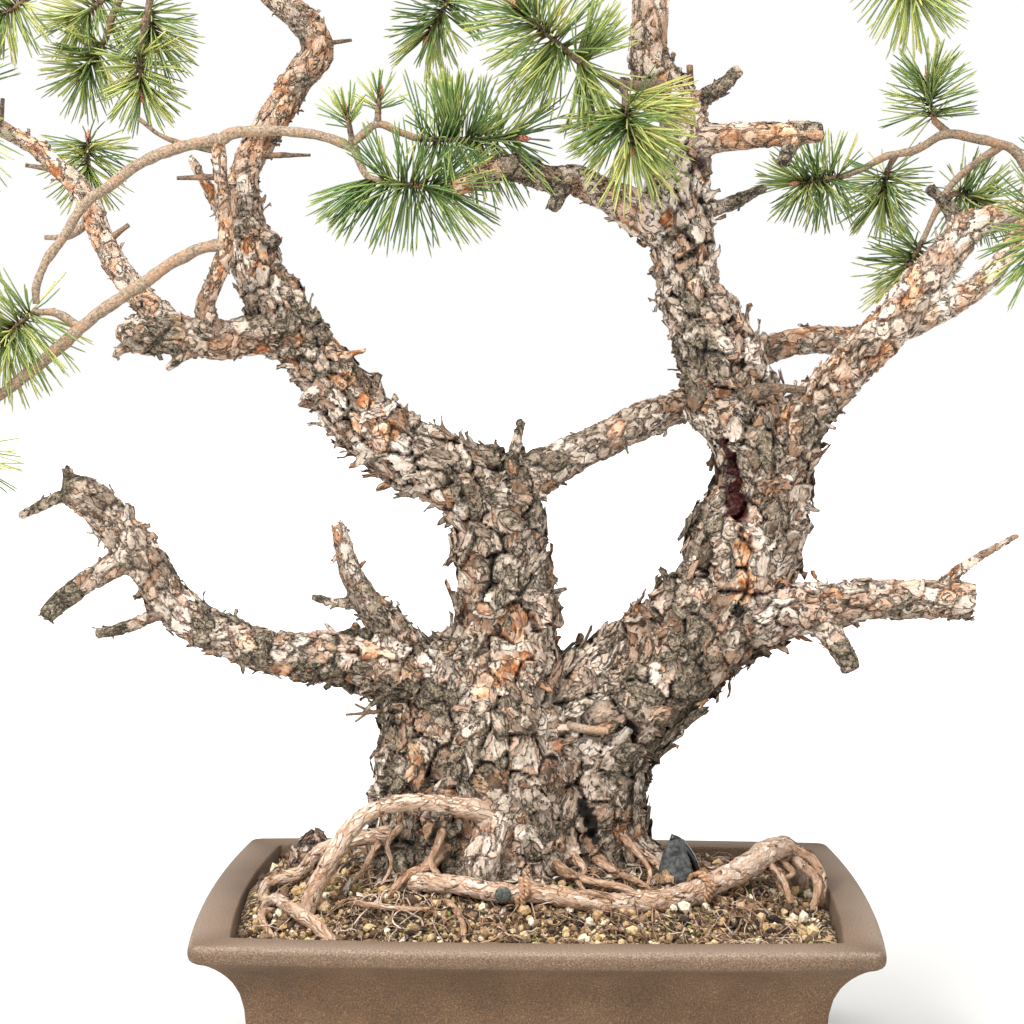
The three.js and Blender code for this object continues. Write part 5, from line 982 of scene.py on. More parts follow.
def seatFlakes(plan, skin, draw, chosen):  # the upper flakes of a stack are smaller and sit a little aside
    count, stack = len(chosen), plan["stack"]
    layer = np.tile(np.arange(stack), count)
    chosen = np.repeat(chosen, stack)
    facing, way = skin["normals"][chosen], skin["ways"][chosen]
    across = unit(np.cross(facing, way))
    turn = draw.normal(0, 0.75, count) + (draw.uniform(0, 1, count) < 0.35) * math.pi
    turn = np.repeat(turn, stack) + draw.normal(0, 0.2, count * stack) * (layer > 0)
    heading = np.cos(turn)[:, None] * np.cross(across, facing) + np.sin(turn)[:, None] * across
    sideways = np.cross(facing, heading)
    size = np.clip(skin["radii"][chosen] / 20, 0.45, 1.1)
    length = np.repeat(draw.uniform(*plan["length"], count), stack) * size * (1 - 0.24 * layer)
    width = np.repeat(draw.uniform(*plan["width"], count), stack) * size * (1 - 0.2 * layer)
    shift = draw.uniform(-0.14, 0.14, (count * stack, 2)) * (layer > 0)[:, None]
    origin = (skin["points"][chosen] + facing * (layer * 0.8 * size)[:, None]
              + heading * (shift[:, 0] * length)[:, None] + sideways * (shift[:, 1] * width)[:, None])
    curve = (np.abs(np.sin(turn)), np.abs(np.cos(turn)))  # how far each direction runs round the limb
    return chosen, origin, facing, heading, sideways, size, length, width, curve


def flakeValues(skin, draw, chosen, each, du, dv, under, inward):
    count = len(chosen)
    place = np.repeat(skin["barkPlace"][chosen] + draw.uniform(0, 90, (count, 3)), each, axis=0)
    tone = np.clip(skin["plateTone"][chosen] * 0.6 + draw.uniform(0, 0.45, count), 0, 1.1)
    bare = (draw.uniform(0, 1, count) < 0.06) * 0.5
    return {
        "barkPlace": place + np.stack([dv.ravel(), np.zeros(dv.size), du.ravel()], axis=1),
        "ledge": np.repeat(draw.uniform(0, 9, count), each) + du.ravel() * 0.05, "plateEdge": inward.ravel(),
        "plateTone": np.repeat(tone, each),
        "crust": np.repeat(skin["crust"][chosen] + draw.uniform(-0.2, 0.2, count), each),
        "inner": np.tile(under, count) * np.repeat(draw.uniform(0, 0.9, count), each) + np.repeat(bare, each),
        # the underside of a flake is painted darker, as the shade under it
        "creviceDarkAndShade": np.tile(under, count) * 0.3,
        "resin": np.zeros(count * each),
    }


def growChips(plan, skin, draw, chosen):  # thin ragged plates, lifted at one end
    chosen, origin, facing, heading, sideways, size, length, width, curve = seatFlakes(plan, skin, draw, chosen)
    count, corners = len(chosen), 9
    angle = around(corners) + draw.normal(0, 0.14, (count, corners))
    reach = draw.uniform(0.68, 1.12, (count, corners)) / 2
    du, dv = reach * np.cos(angle) * length[:, None], reach * np.sin(angle) * width[:, None]
    lift = (draw.uniform(*plan["lift"], count) * size)[:, None]
    radius = np.maximum(skin["radii"][chosen], 4)[:, None]
    bend = ((du * curve[0][:, None]) ** 2 + (dv * curve[1][:, None]) ** 2) / (2 * radius)
    rise = lift * np.clip(du / length[:, None] + 0.5, 0, 1) ** 1.5 - bend - 0.25
    rise += draw.normal(0, 0.3, (count, corners)) * size[:, None]
    edge = (origin[:, None] + heading[:, None] * du[..., None] + sideways[:, None] * dv[..., None]
            + facing[:, None] * rise[..., None])
    middle = edge.mean(axis=1)
    thick = (draw.uniform(0.3, 0.8, count) * size)[:, None]
    middles = np.stack([middle + facing * thick, middle - facing * thick], axis=1)
    cloud = np.concatenate([edge, middles], axis=1)
    template = []
    for k in range(corners):
        template += [(k, (k + 1) % corners, corners), ((k + 1) % corners, k, corners + 1)]
    each = corners + 2
    pad = np.zeros((count, 2))
    under = np.append(np.zeros(corners + 1), 1)
    inward = np.hstack([np.full((count, corners), 0.5), np.repeat(width[:, None] * 0.42, 2, axis=1)])
    values = flakeValues(skin, draw, chosen, each, np.hstack([du, pad]), np.hstack([dv, pad]), under, inward)
    return cloud.reshape(-1, 3), repeated(template, count, each), values


def sheetFaces(nu, nv):  # a thin sheet: top grid, bottom grid and the edge between them
    def at(i, j, under):
        return under * nu * nv + i * nv + j
    faces = []
    for i in range(nu - 1):
        for j in range(nv - 1):
            faces.append((at(i, j, 0), at(i + 1, j, 0), at(i + 1, j + 1, 0), at(i, j + 1, 0)))
            faces.append((at(i, j, 1), at(i, j + 1, 1), at(i + 1, j + 1, 1), at(i + 1, j, 1)))
    rim = [(i, 0) for i in range(nu)] + [(nu - 1, j) for j in range(1, nv)]
    rim += [(i, nv - 1) for i in range(nu - 2, -1, -1)] + [(0, j) for j in range(nv - 2, 0, -1)]
    for (i, j), (k, m) in zip(rim, rim[1:] + rim[:1]):
        faces.append((at(i, j, 1), at(k, m, 1), at(k, m, 0), at(i, j, 0)))
    return faces


def growCurls(plan, skin, draw, chosen):  # strips that roll away from the skin towards their free end
    chosen, origin, facing, heading, sideways, size, length, width, _ = seatFlakes(plan, skin, draw, chosen)
    count, nu, nv = len(chosen), 5, 3
    along = np.linspace(0, 1, nu)
    first, last = draw.uniform(2, 22, (count, 1)), draw.uniform(*plan["roll"], (count, 1))
    bend = np.radians(first + (last - first) * along ** 1.3 + draw.normal(0, 9, (count, nu)))
    step = (length / (nu - 1))[:, None]
    u = np.hstack([np.zeros((count, 1)), np.cumsum(np.cos(bend[:, 1:]) * step, axis=1)]) - 1.2
    rise = np.hstack([np.zeros((count, 1)), np.cumsum(np.sin(bend[:, 1:]) * step, axis=1)]) - 0.6
    across = np.linspace(-0.5, 0.5, nv)
    taper = draw.uniform(0.2, 0.9, (count, 1, 1))
    half = width[:, None, None] * (across * (1.0 - taper * along[:, None] ** 1.6)
                                   + draw.normal(0, 0.09, (count, nu, nv)))
    u = u[:, :, None] + draw.normal(0, 0.08, (count, nu, nv)) * length[:, None, None]
    cup = (across * 2) ** 2 * width[:, None, None] * draw.uniform(-0.05, 0.2, (count, 1, 1))
    out = facing[:, None] * np.cos(bend)[..., None] - heading[:, None] * np.sin(bend)[..., None]
    base = (origin[:, None, None] + heading[:, None, None] * u[..., None]
            + sideways[:, None, None] * half[..., None])
    top = base + facing[:, None, None] * rise[:, :, None, None] + out[:, :, None] * cup[..., None]
    thick = draw.uniform(0.35, 0.8, (count, 1, 1, 1)) * np.clip(size, 0.6, 1)[:, None, None, None]
    below = top - out[:, :, None] * thick
    cloud = np.concatenate([top.reshape(count, -1, 3), below.reshape(count, -1, 3)], axis=1)
    each = 2 * nu * nv
    faces = repeated(sheetFaces(nu, nv), count, each)
    du, dv = np.tile(u.reshape(count, -1), 2), np.tile(half.reshape(count, -1), 2)
    under = np.append(np.zeros(nu * nv), np.ones(nu * nv))
    inward = np.full((nu, nv), 3.0)
    inward[:, (0, -1)], inward[-1] = 0.6, 0.6
    inward = np.tile(inward.ravel(), (count, 2))
    return cloud.reshape(-1, 3), faces, flakeValues(skin, draw, chosen, each, du, dv, under, inward)


barkKeys = ("barkPlace", "ledge", "plateEdge", "plateTone", "crust", "inner", "creviceDarkAndShade", "resin")


def dressWood(name, parts, voxel, seed, peel, plans):
    draw = np.random.default_rng(seed)
    points, normals, faces = remeshed(name, parts, voxel)
    skin = barkSkin(points, normals, draw, peel)
    piece = makePiece(name, skin["points"], faces, [pineBark], {key: skin[key] for key in barkKeys})
    piece.data.set_sharp_from_angle(angle=math.radians(42))
    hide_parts("tree")
    print(name, "skin:", len(faces), "faces")
    usable = np.flatnonzero(skin["covered"] & (skin["radii"] > 3.0))
    grown = []
    for plan, grow in plans:
        chosen = draw.choice(usable, flakes[plan]["count"], replace=False)
        grown.append(grow(flakes[plan], skin, draw, chosen))
    cloud, flakeFaces, values = joinParts(grown)
    piece = makePiece(name + "Flakes", cloud, flakeFaces, [pineBark], values)
    piece.data.set_sharp_from_angle(angle=math.radians(38))
    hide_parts("tree")
    print(name, "flakes:", len(flakeFaces), "faces")


# short knobs on the left stem
knobRoutes = [
    [[-182, -8, 558, 7], [-174, -10, 557, 6], [-170, -10, 553, 3.6]],
    [[-172, -8, 522, 6], [-163, -9, 526, 5], [-159, -9, 530, 3.2]],
    [[-136, -12, 479, 5], [-124, -13, 483, 2.6], [-112, -14, 486, 2]],
]
# limbs thin enough to be twigs without plates
thinLimbs = ("leftMainPegA", "leftMainPegB", "leftBackTwig", "leftBackPeg", "archRight", "archRightUp",
             "archRightDown", "archLeft", "frontPeg", "twigTwo", "twigTwoSide", "twigTwoEnd", "rightBackA",
             "rightBackB", "pegB", "pegE")


def makeTrunk():
    parts = [gatherLimb(route, 40, depth) for route, depth in zip(trunkRoutes, trunkDepths)]
    parts += [gatherLimb(route, 24) for route in (*flareRoutes.values(), rootRoutes["kneeRoot"])]
    dressWood("trunkBark", parts, wood["trunkVoxel"], 41, wood["trunkPeel"],
              [("trunkChips", growChips), ("trunkCurls", growCurls)])


def makeLimbs():
    limbFrames.clear()
    parts = [gatherLimb(route, 20) for name, route in limbRoutes.items() if name not in thinLimbs]
    parts += [gatherLimb(route, 12) for route in knobRoutes]
    dressWood("limbBark", parts, wood["limbVoxel"], 43, wood["limbPeel"],
              [("limbChips", growChips), ("limbCurls", growCurls)])


makeTrunk()
makeLimbs()


def makeTwigs():
    parts, routes = [], []
    for name, route in limbRoutes.items():
        if name in thinLimbs:
            slim, age = (0.62 if "Peg" in name else 1), (-0.3 if "peg" in name.lower() else -0.08)
            routes.append(([[*spot[:3], spot[3] * slim] for spot in route], age))
    routes += [(route, -0.17) for route in twigRoutes.values()]
    for number, (route, age) in enumerate(routes):
        samples = followRoute(route, 1.8)
        beat = softNoise(samples[:, :3], 6, number + 60)
        samples[:, 3] *= 1 + 0.16 * np.maximum(beat, 0)
        points, faces = tube(samples, 9, rough=0.15, seed=number)
        parts.append((points, faces, {"twigAge": age}))
    points, faces, values = joinParts(parts)
    piece = makePiece("twigs", points, faces, [twigBark], values)
    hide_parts("tree")
    print("twigs:", len(faces), "faces")


makeTwigs()


# thin roots and dry bits that only this file has, [x, y, z, radius]
smallRoots = [
    [[-58, -46, 186, 4], [-63, -66, 174, 2.2], [-67, -71, 163, 2.0], [-60, -76, 152, 1.8], [-64, -80, 138, 1.4]],
    [[-80, -30, 186, 3], [-96, -50, 170, 1.6], [-93, -58, 158, 1.4], [-103, -64, 140, 1.2]],
    [[-90, -14, 178, 4], [-106, -42, 163, 2.4], [-112, -52, 153, 1.8], [-127, -57, 138, 1.4]],
    [[-56, -50, 172, 6], [-70, -69, 160, 3.6], [-83, -72, 154, 3.2], [-95, -76, 141, 2.6], [-108, -80, 130, 2]],
    [[-8, -44, 160, 5], [-4, -76, 152, 2.6], [6, -85, 149, 2.2], [18, -88, 138, 1.6]],
    [[4, -42, 166, 6], [18, -68, 157, 3.4], [36, -77, 153, 2.8], [54, -80, 150, 2.4], [74, -82, 140, 2]],
    [[32, -30, 164, 5], [50, -58, 155, 2.8], [64, -64, 150, 2.4], [78, -68, 140, 2]],
    [[60, -20, 164, 5], [76, -34, 156, 2.8], [84, -52, 149, 2.2], [82, -66, 138, 1.8]],
    [[54, -26, 172, 4], [66, -42, 162, 1.7], [72, -50, 154, 1.5], [70, -60, 144, 1.2]],
    [[20, -40, 164, 4], [30, -64, 157, 1.8], [26, -76, 153, 1.6], [34, -86, 144, 1.2]],
    [[18, -92, 144, 2.0], [28, -95, 150, 2.2], [44, -94, 147.5, 2.2], [56, -92, 138, 2]],
    [[168, 20, 150, 4.5], [180, 2, 143, 3.2], [184, -12, 138, 2.8], [180, -22, 122, 2.4]],
    [[172, 24, 152, 5], [182, 8, 150, 3.4], [188, -2, 140, 3], [186, -12, 122, 2.6]],
    [[150, -6, 152, 3.4], [160, -24, 143, 2.2], [164, -36, 130, 2]],
    [[160, 8, 150, 3], [168, -8, 144, 1.8], [158, -20, 140, 1.6], [166, -34, 130, 1.4]],
    [[-168, -60, 128, 3], [-174, -74, 130, 2.6], [-170, -92, 127, 2.2], [-160, -104, 118, 2]],
    [[-120, -60, 136, 2], [-108, -92, 141, 1.9], [-86, -98, 140, 1.8], [-64, -101, 139, 1.6],
     [-50, -110, 130, 1.2]],
    [[-60, -78, 142, 2.6], [-52, -98, 141, 2.4], [-46, -112, 136, 2], [-44, -122, 126, 1.6]],
]
dryBits = [
    [[-92, -16, 253, 1.8], [-110, -24, 251, 1.3], [-125, -27, 250, 0.8]],
    [[-108, -23, 251, 1.1], [-119, -27, 257, 0.7]],
    [[-111, -24, 251, 1.0], [-119, -24, 245, 0.7]],
    [[20, -36, 246, 3], [27, -46, 245.5, 2.7], [45, -49, 244.4, 2.3]],
    [[-82, -18, 290, 3], [-85, -24, 300, 1.7], [-89, -26, 307, 1.4], [-91, -27, 312, 1.5], [-87, -27, 315, 1.1]],
    [[-246, -34, 344, 2.4], [-252, -46, 350, 1.4], [-256, -50, 357, 1.0]],
    [[-203, -57, 610, 2.6], [-208, -57, 611, 2.2], [-223, -56, 614, 1.8], [-239, -56, 620, 1.6],
     [-252, -57, 630, 1.5]],
    [[-322, 54, 606, 2.4], [-335, 55, 607, 1.8], [-348, 56, 609, 1.6]],
    [[-288, 34, 558, 2.6], [-281, 31, 563, 2.0], [-274, 30, 568, 1.7]],
]
rootFlakes = {"count": 620, "stack": 1, "length": (14, 34), "width": (5, 11), "lift": (0.1, 1.6)}


def makeRoots():
    parts, skins = [], []
    routes = [route for name, route in rootRoutes.items() if name != "kneeRoot"] + smallRoots
    for number, route in enumerate(routes):
        samples = followRoute(route, 2)
        big = number < len(rootRoutes) - 1
        sides = 18 if big else 9
        points, faces = tube(samples, sides, rough=0.15, seed=number + 90)
        tone = (0.1 if number == 0 else 0.05) + 0.12 * softNoise(points, 24, number + 95) - (0 if big else 0.17)
        place = tubePlace(samples, sides) + (number * 37, 0, 0)
        parts.append((points, faces, {"rootTone": tone, "rootPlace": place}))
        ways, ring = frameRoute(samples)[0], points[:-2]
        outward = unit(ring - np.repeat(samples[:, :3], sides, axis=0))
        skins.append((ring, outward, np.repeat(samples[:, 3], sides), np.repeat(ways, sides, axis=0),
                      place[:-2], tone[:-2]))

    # papery flakes on the dry parts of the roots
    draw = np.random.default_rng(91)
    keys = ("points", "normals", "radii", "ways", "barkPlace", "plateTone")
    skin = dict(zip(keys, (np.concatenate(lists) for lists in zip(*skins))))
    skin["crust"] = np.zeros(len(skin["points"]))
    dry = np.flatnonzero((skin["points"][:, 2] > 138) & (skin["radii"] > 2.6))
    chosen = draw.choice(dry, rootFlakes["count"], replace=False)
    cloud, faces, values = growChips(rootFlakes, skin, draw, chosen)
    tone = values["plateTone"] * 0.5 - 0.16 - 0.14 * (values["plateEdge"] < 1)
    parts.append((cloud, faces, {"rootTone": tone, "rootPlace": values["barkPlace"]}))
    points, faces, values = joinParts(parts)
    piece = makePiece("surfaceRoots", points, faces, [rootBark], values)
    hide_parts("tree")


def makeDryBits():  # a dead spur, a cut stub and curls of loose bark
    parts = []
    for number, route in enumerate(dryBits):
        points, faces = tube(followRoute(route, 1.6), 8, rough=0.16, seed=number + 120)
        parts.append((points, faces, {"twigAge": 0.0 if number == 3 else -0.2}))  # the cut stub is paler
    points, faces, values = joinParts(parts)
    piece = makePiece("dryBits", points, faces, [twigBark], values)
    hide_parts("tree")


makeRoots()
makeDryBits()
print("tree made")


# a mound round the trunk, with grains and crumbs: count, middle size, spread of sizes, share of each kind
soil = {
    "edge": 122, "inset": 25, "halfX": 188, "halfY": 137,
    "mound": 36, "moundX": -18, "moundLength": 195, "moundWidth": 134,
    "trunkX": -20, "trunkY": 2, "trunkLength": 70, "trunkWidth": 62,
    "soilGrains": (2300, 2.1, 0.4, [0.04, 0.14, 0.24, 0.24, 0.2, 0.14]),
    "soilCrumbs": (7600, 1.05, 0.3, [0.44, 0.26, 0.14, 0.08, 0.05, 0.03]),
    "kinds": [0.1, 0.28, 0.43, 0.57, 0.7, 0.84], "moss": 0.95, "mossFrom": 0.64,
    "fineRoots": 1000, "barkBits": 480,
}


def soilHeight(x, y):
    away = ((x - soil["moundX"]) / soil["moundLength"]) ** 2 + (y / soil["moundWidth"]) ** 2
    return soil["edge"] + soil["mound"] * np.maximum(0, 1 - away) ** 0.9


def soilTop(x, y):  # with the crumbs of the bed
    flat = np.stack([x, y, np.zeros_like(x)], axis=1)
    return soilHeight(x, y) + 1.8 * softNoise(flat, 16, 51) + 1.0 * softNoise(flat, 6, 52) - 1.2


def makeSoilBed():
    rings = [potRing(inset + 0.45, z + 0.3) for inset, z in reversed(pot["inside"][4:])]
    brim, steps = potRing(soil["inset"] + 0.5, 0), 46
    for i in range(steps):
        scale = 1 - i / steps
        ring = brim * (scale, scale, 1) + ((1 - scale) * soil["moundX"], 0, 0)
        ring[:, 2] = soilTop(ring[:, 0], ring[:, 1]) - (2 if i == 0 else 0)
        rings.append(ring)
    points, faces = solidFrom(rings)
    piece = makePiece("soilBed", points, faces, [humus])
    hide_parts("soil")


def inPot(x, y, margin):
    halfX, halfY = pot["length"] / 2 - soil["inset"], pot["width"] / 2 - soil["inset"]
    return (abs(x) < halfX - margin) & (abs(y) < halfY - margin)


def trunkBase(x, y):  # below 1 under the trunk
    return ((x - soil["trunkX"]) / soil["trunkLength"]) ** 2 + ((y - soil["trunkY"]) / soil["trunkWidth"]) ** 2


def scatterGrains(name, ball, faces, seed):
    count, middle, spread, shares = soil[name]
    draw = np.random.default_rng(seed)
    x, y = (draw.uniform(-half, half, count * 2) for half in (soil["halfX"], soil["halfY"]))
    size = np.exp(draw.normal(math.log(middle), spread, count * 2)).clip(middle * 0.55, middle * 2.2)
    fits = inPot(x, y, size * 0.6) & (trunkBase(x, y) > 1)
    x, y, size = x[fits][:count], y[fits][:count], size[fits][:count]
    count = len(x)
    z = soilTop(x, y) + size * draw.uniform(0.0, 0.85, count)

    # every grain is the same ball, dented, stretched and turned its own way
    dent = 1 + draw.normal(0, 0.12, (count, len(ball), 1))
    turn = draw.normal(size=(count, 4))
    a, b, c, d = (turn / np.linalg.norm(turn, axis=1, keepdims=True)).T
    spin = np.stack([
        np.stack([1 - 2 * (c * c + d * d), 2 * (b * c - a * d), 2 * (b * d + a * c)], axis=1),
        np.stack([2 * (b * c + a * d), 1 - 2 * (b * b + d * d), 2 * (c * d - a * b)], axis=1),
        np.stack([2 * (b * d - a * c), 2 * (c * d + a * b), 1 - 2 * (b * b + c * c)], axis=1)], axis=1)
    cloud = ball[None] * draw.uniform(0.7, 1.25, (count, 1, 3)) * dent * size[:, None, None]
    places = np.stack([x, y, z], axis=1)
    cloud = np.einsum("nij,nkj->nki", spin, cloud) + places[:, None, :]
    kinds = draw.choice(soil["kinds"], count, p=shares)
    mossy = softNoise(places, 17, 55) + softNoise(places, 5, 56)
    kinds[(mossy > soil["mossFrom"]) & (size < middle * 1.1)] = soil["moss"]
    piece = makePiece(name, cloud.reshape(-1, 3), repeated(faces, count, len(ball)), [soilGrit],
                      {"grainKind": np.repeat(kinds, len(ball))}, smooth=False)
    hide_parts("soil")
    print(name, count)


def makeGrains():  # pumice and clay grains with twenty faces, and crumbs with eight
    bm = bmesh.new()
    bmesh.ops.create_icosphere(bm, subdivisions=1, radius=1)
    scatterGrains("soilGrains", *fromBmesh(bm), 53)
    corners = np.array([(1, 0, 0), (0, 1, 0), (-1, 0, 0), (0, -1, 0), (0, 0, 1), (0, 0, -1)], float)
    sides = [(i, (i + 1) % 4, 4) for i in range(4)] + [((i + 1) % 4, i, 5) for i in range(4)]
    scatterGrains("soilCrumbs", corners, sides, 54)


rootTones = (-0.42, -0.34, -0.26, -0.18, -0.1, 0.0, 0.08, 0.16)


def makeFineRoots():  # thin wiry roots that lie over the grains
    draw = random.Random(57)
    parts = []
    for number in range(soil["fineRoots"]):
        x, y = draw.uniform(-180, 180), draw.uniform(-130, 124)
        if trunkBase(x, y) < 0.85:
            continue
        heading, radius = draw.uniform(0, 2 * math.pi), draw.choice((0.36, 0.4, 0.45, 0.55, 0.7, 0.9))
        length, lift = draw.randint(5, 15), draw.uniform(0.5, 6)
        bend, route = draw.uniform(-0.45, 0.45), []
        for i in range(length):
            rise = lift * math.sin(math.pi * i / (length - 1)) + draw.uniform(-0.5, 1.0) + 1.3
            ground = float(soilTop(np.array([x]), np.array([y]))[0])
            sunk = 3 if i in (0, length - 1) else 0
            route.append([x, y, ground + rise - sunk, radius * (1 - 0.5 * i / length)])
            bend += draw.uniform(-0.3, 0.3)
            heading += bend * 0.5
            x = min(max(x + 3.2 * math.cos(heading), -182), 182)
            y = min(max(y + 3.2 * math.sin(heading), -130), 130)
        samples = followRoute(route, 3.4)
        points, faces = tube(samples, 3)
        place = tubePlace(samples, 3) + (number * 3, 0, 0)
        parts.append((points, faces, {"rootTone": draw.choice(rootTones), "rootPlace": place}))
    points, faces, values = joinParts(parts)
    piece = makePiece("fineRoots", points, faces, [rootBark], values)
    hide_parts("tree")
    print("fine roots:", len(parts))


def makeBarkBits():  # flakes that fell from the trunk and lie round its foot
    draw = np.random.default_rng(59)
    count = soil["barkBits"]
    turn, away = draw.uniform(0, 2 * math.pi, count), 1.0 + draw.exponential(0.42, count)
    x = soil["trunkX"] + soil["trunkLength"] * away * np.cos(turn)
    y = soil["trunkY"] + soil["trunkWidth"] * away * np.sin(turn)
    fits = inPot(x, y, 6)
    x, y = x[fits], y[fits]
    points = np.stack([x, y, soilTop(x, y) + draw.uniform(1.5, 4.5, len(x))], axis=1)
    up = unit(np.array([0, 0, 1.0]) + draw.normal(0, 0.35, points.shape))
    skin = {
        "points": points, "normals": up, "ways": unit(np.cross(up, draw.normal(size=points.shape))),
        "radii": np.full(len(x), 20.0), "barkPlace": points * 3, "plateTone": draw.uniform(0, 1, len(x)),
        "crust": draw.uniform(-0.4, 0.2, len(x)),
    }
    plan = {"stack": 1, "length": (5, 15), "width": (3, 9), "lift": (0, 3)}
    cloud, faces, values = growChips(plan, skin, draw, np.arange(len(x)))
    piece = makePiece("fallenBark", cloud, faces, [pineBark], values, smooth=False)
    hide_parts("soil")


makeSoilBed()
makeGrains()
makeFineRoots()
makeBarkBits()
print("soil made")


needle = {"length": 46, "radius": 0.62, "pairSpread": 0.10, "bend": 3.5, "sag": 1.2, "fullness": 1.05}
goldenTurn = 2.39996  # radians from one pair of needles to the next round a shoot

# spray, limb or twig it ends, way it points, length of its shoot, needles
sprays = [
    ("front_centre_top", "centreTop", (-0.75, -0.1, 0.65), 44, 210),
    ("front_centre_low", "centreTopDown", (0.15, -0.35, -0.9), 26, 150),
    ("front_arch_end", "archRightUp", (1, 0.05, 0.02), 62, 260),
    ("front_hanging", "archRightDown", (1, -0.05, -0.1), 40, 230),
    ("back_centre", "topLeftOne", (-0.5, 0.1, -0.86), 34, 170),
    ("top_left_out", "topLeftTwo", (-0.85, -0.1, 0.5), 30, 160),
    ("top_right_hang", "topRightOne", (0.25, -0.1, -0.96), 34, 170),
    ("top_right_up", "topRightTwo", (0.2, -0.2, 0.95), 30, 160),
    ("top_right_out", "topRightThree", (0.95, 0.1, 0.3), 32, 160),
    ("top_back_end", "topBackOne", (0.9, 0.35, 0.1), 32, 160),
    ("top_back_up", "topBackTwo", (-0.2, 0.4, 0.9), 30, 160),
    ("top_back_side", "topBackThree", (0.1, 0.8, 0.4), 26, 150),
    ("top_front_left", "topFrontOne", (-0.85, -0.35, 0.4), 32, 160),
    ("top_front", "topFrontTwo", (0.25, -0.7, 0.65), 28, 160),
    ("top_apex", "rightTop", (-0.1, 0, 1), 28, 160),
    ("left_back_end", "leftBackOne", (-0.75, 0.05, -0.6), 30, 160),
    ("left_back_inner", "leftBackTwo", (0.15, 0.25, -0.95), 26, 160),
    ("left_back_low", "leftBackThree", (0.1, -0.2, -0.97), 26, 160),
    ("left_back_mid", "leftBackFour", (-0.6, 0.1, -0.8), 28, 160),
    ("left_back_rise", "leftBackFive", (0, 0.25, 0.97), 26, 150),
    ("left_back_out", "leftBackSix", (-0.75, -0.1, -0.5), 26, 150),
    ("left_front_end", "leftFrontOne", (-0.75, -0.35, 0.45), 30, 160),
    ("left_front_side", "leftFrontTwo", (0.2, -0.8, 0.5), 26, 150),
    ("left_top_right", "leftTopRight", (0.9, -0.2, 0.35), 30, 160),
    ("left_top_back", "leftTopBack", (0.15, 0.75, 0.6), 28, 150),
    ("left_apex", "leftMain", (0.15, 0, 1), 28, 150),
    ("left_far_end", "leftBack", (-0.45, 0.1, 0.9), 28, 150),
    ("left_far_side", "leftFar", (-0.6, -0.6, -0.4), 24, 140),
    ("left_edge", "twigTwoSide", (-0.7, -0.05, -0.7), 30, 210),
    ("left_low_end", "twigTwo", (-0.95, 0.1, 0.15), 26, 150),
    ("left_low_under", "twigTwoEnd", (-0.4, -0.3, -0.85), 24, 140),
    ("right_back_inner", "rightBackA", (-0.85, -0.45, -0.15), 34, 200),
    ("right_back_under", "rightBackB", (-0.5, -0.1, -0.85), 32, 170),
    ("right_back_top", "rightBackC", (-0.1, 0.15, 0.98), 28, 160),
    ("right_back_end", "rightBackD", (0.7, 0.2, 0.6), 28, 150),
    ("right_back_mid", "rightBackE", (0.75, 0.35, -0.2), 24, 150),
    ("right_back_low", "rightBackF", (-0.05, 0.5, -0.85), 24, 150),
    ("right_far_end", "rightUpper", (0.7, 0.1, 0.65), 28, 150),
    ("right_far_front", "rightFarOne", (0.25, -0.75, 0.5), 26, 150),
    ("right_far_back", "rightFarTwo", (0.3, 0.85, 0.4), 26, 150),
    ("right_edge", "rightFarThree", (-0.15, -0.5, -0.85), 28, 190),
]
# the same, with the length of the needles before their number
youngSprays = [
    ("front_young_left", "youngLeft", (-0.25, -0.15, 0.95), 12, 22, 34),
    ("front_young_right", "youngRight", (0.1, 0.05, 1), 10, 20, 28),
]


def needleTubes(starts, headings, lengths, draw, radius):  # thin three-sided needles that bend a little
    count = len(starts)
    aside = unit(np.cross(headings, unit(draw.normal(size=(count, 3)))))
    other = np.cross(headings, aside)
    sag = draw.normal(0, 1, (count, 1)) * aside + draw.normal(0, 1, (count, 1)) * other
    share = lengths[:, None] / needle["length"]
    sag = sag * needle["bend"] * share + np.array([0, 0, -needle["sag"]]) * share
    rings, along = [], []
    for t, thick in ((0.0, 0.8), (0.5, 1.0), (0.93, 0.85)):
        centre = starts + headings * (lengths * t)[:, None] + sag * t * t
        for turn in (0, 2 * math.pi / 3, 4 * math.pi / 3):
            rings.append(centre + radius * thick * (math.cos(turn) * aside + math.sin(turn) * other))
            along.append(t)
    rings.append(starts + headings * lengths[:, None] + sag)
    along.append(1.0)
    template = [(2, 1, 0)]
    for i in (0, 3):
        for j in range(3):
            a, b = i + j, i + (j + 1) % 3
            template.append((a, b, b + 3, a + 3))
    template += [(6, 7, 9), (7, 8, 9), (8, 6, 9)]
    faces = repeated(template, count, len(rings))
    return np.stack(rings, axis=1).reshape(-1, 3), faces, np.tile(along, count)


def budPoints(place, axis, radius, length):
    side = unit(np.cross(axis, (0.3, 0.5, 0.8)))
    other = np.cross(axis, side)
    sides, rings = 7, []
    for t, thick in ((0, 0.5), (0.15, 0.95), (0.4, 1.0), (0.7, 0.7), (0.92, 0.25)):
        turns = around(sides) + t * 2
        swell = radius * thick * (1 + 0.18 * np.cos(turns * 3 + t * 9))
        ring = np.cos(turns)[:, None] * side + np.sin(turns)[:, None] * other
        rings.append(place + axis * length * t + swell[:, None] * ring)
    return np.vstack(rings + [[place, place + axis * length]]), loftFaces(len(rings), sides)


# how far the needles open at the foot and at the tip of a spray, in degrees
openings = {
    "young": (70, 20), "plain": (102, 32),
    "front_centre_top": (118, 34), "front_centre_low": (100, 24), "front_arch_end": (98, 50),
    "front_hanging": (124, 36), "left_edge": (112, 40), "right_back_inner": (112, 34), "right_edge": (108, 30),
    "left_back_rise": (142, 84), "right_back_mid": (100, 40),
}
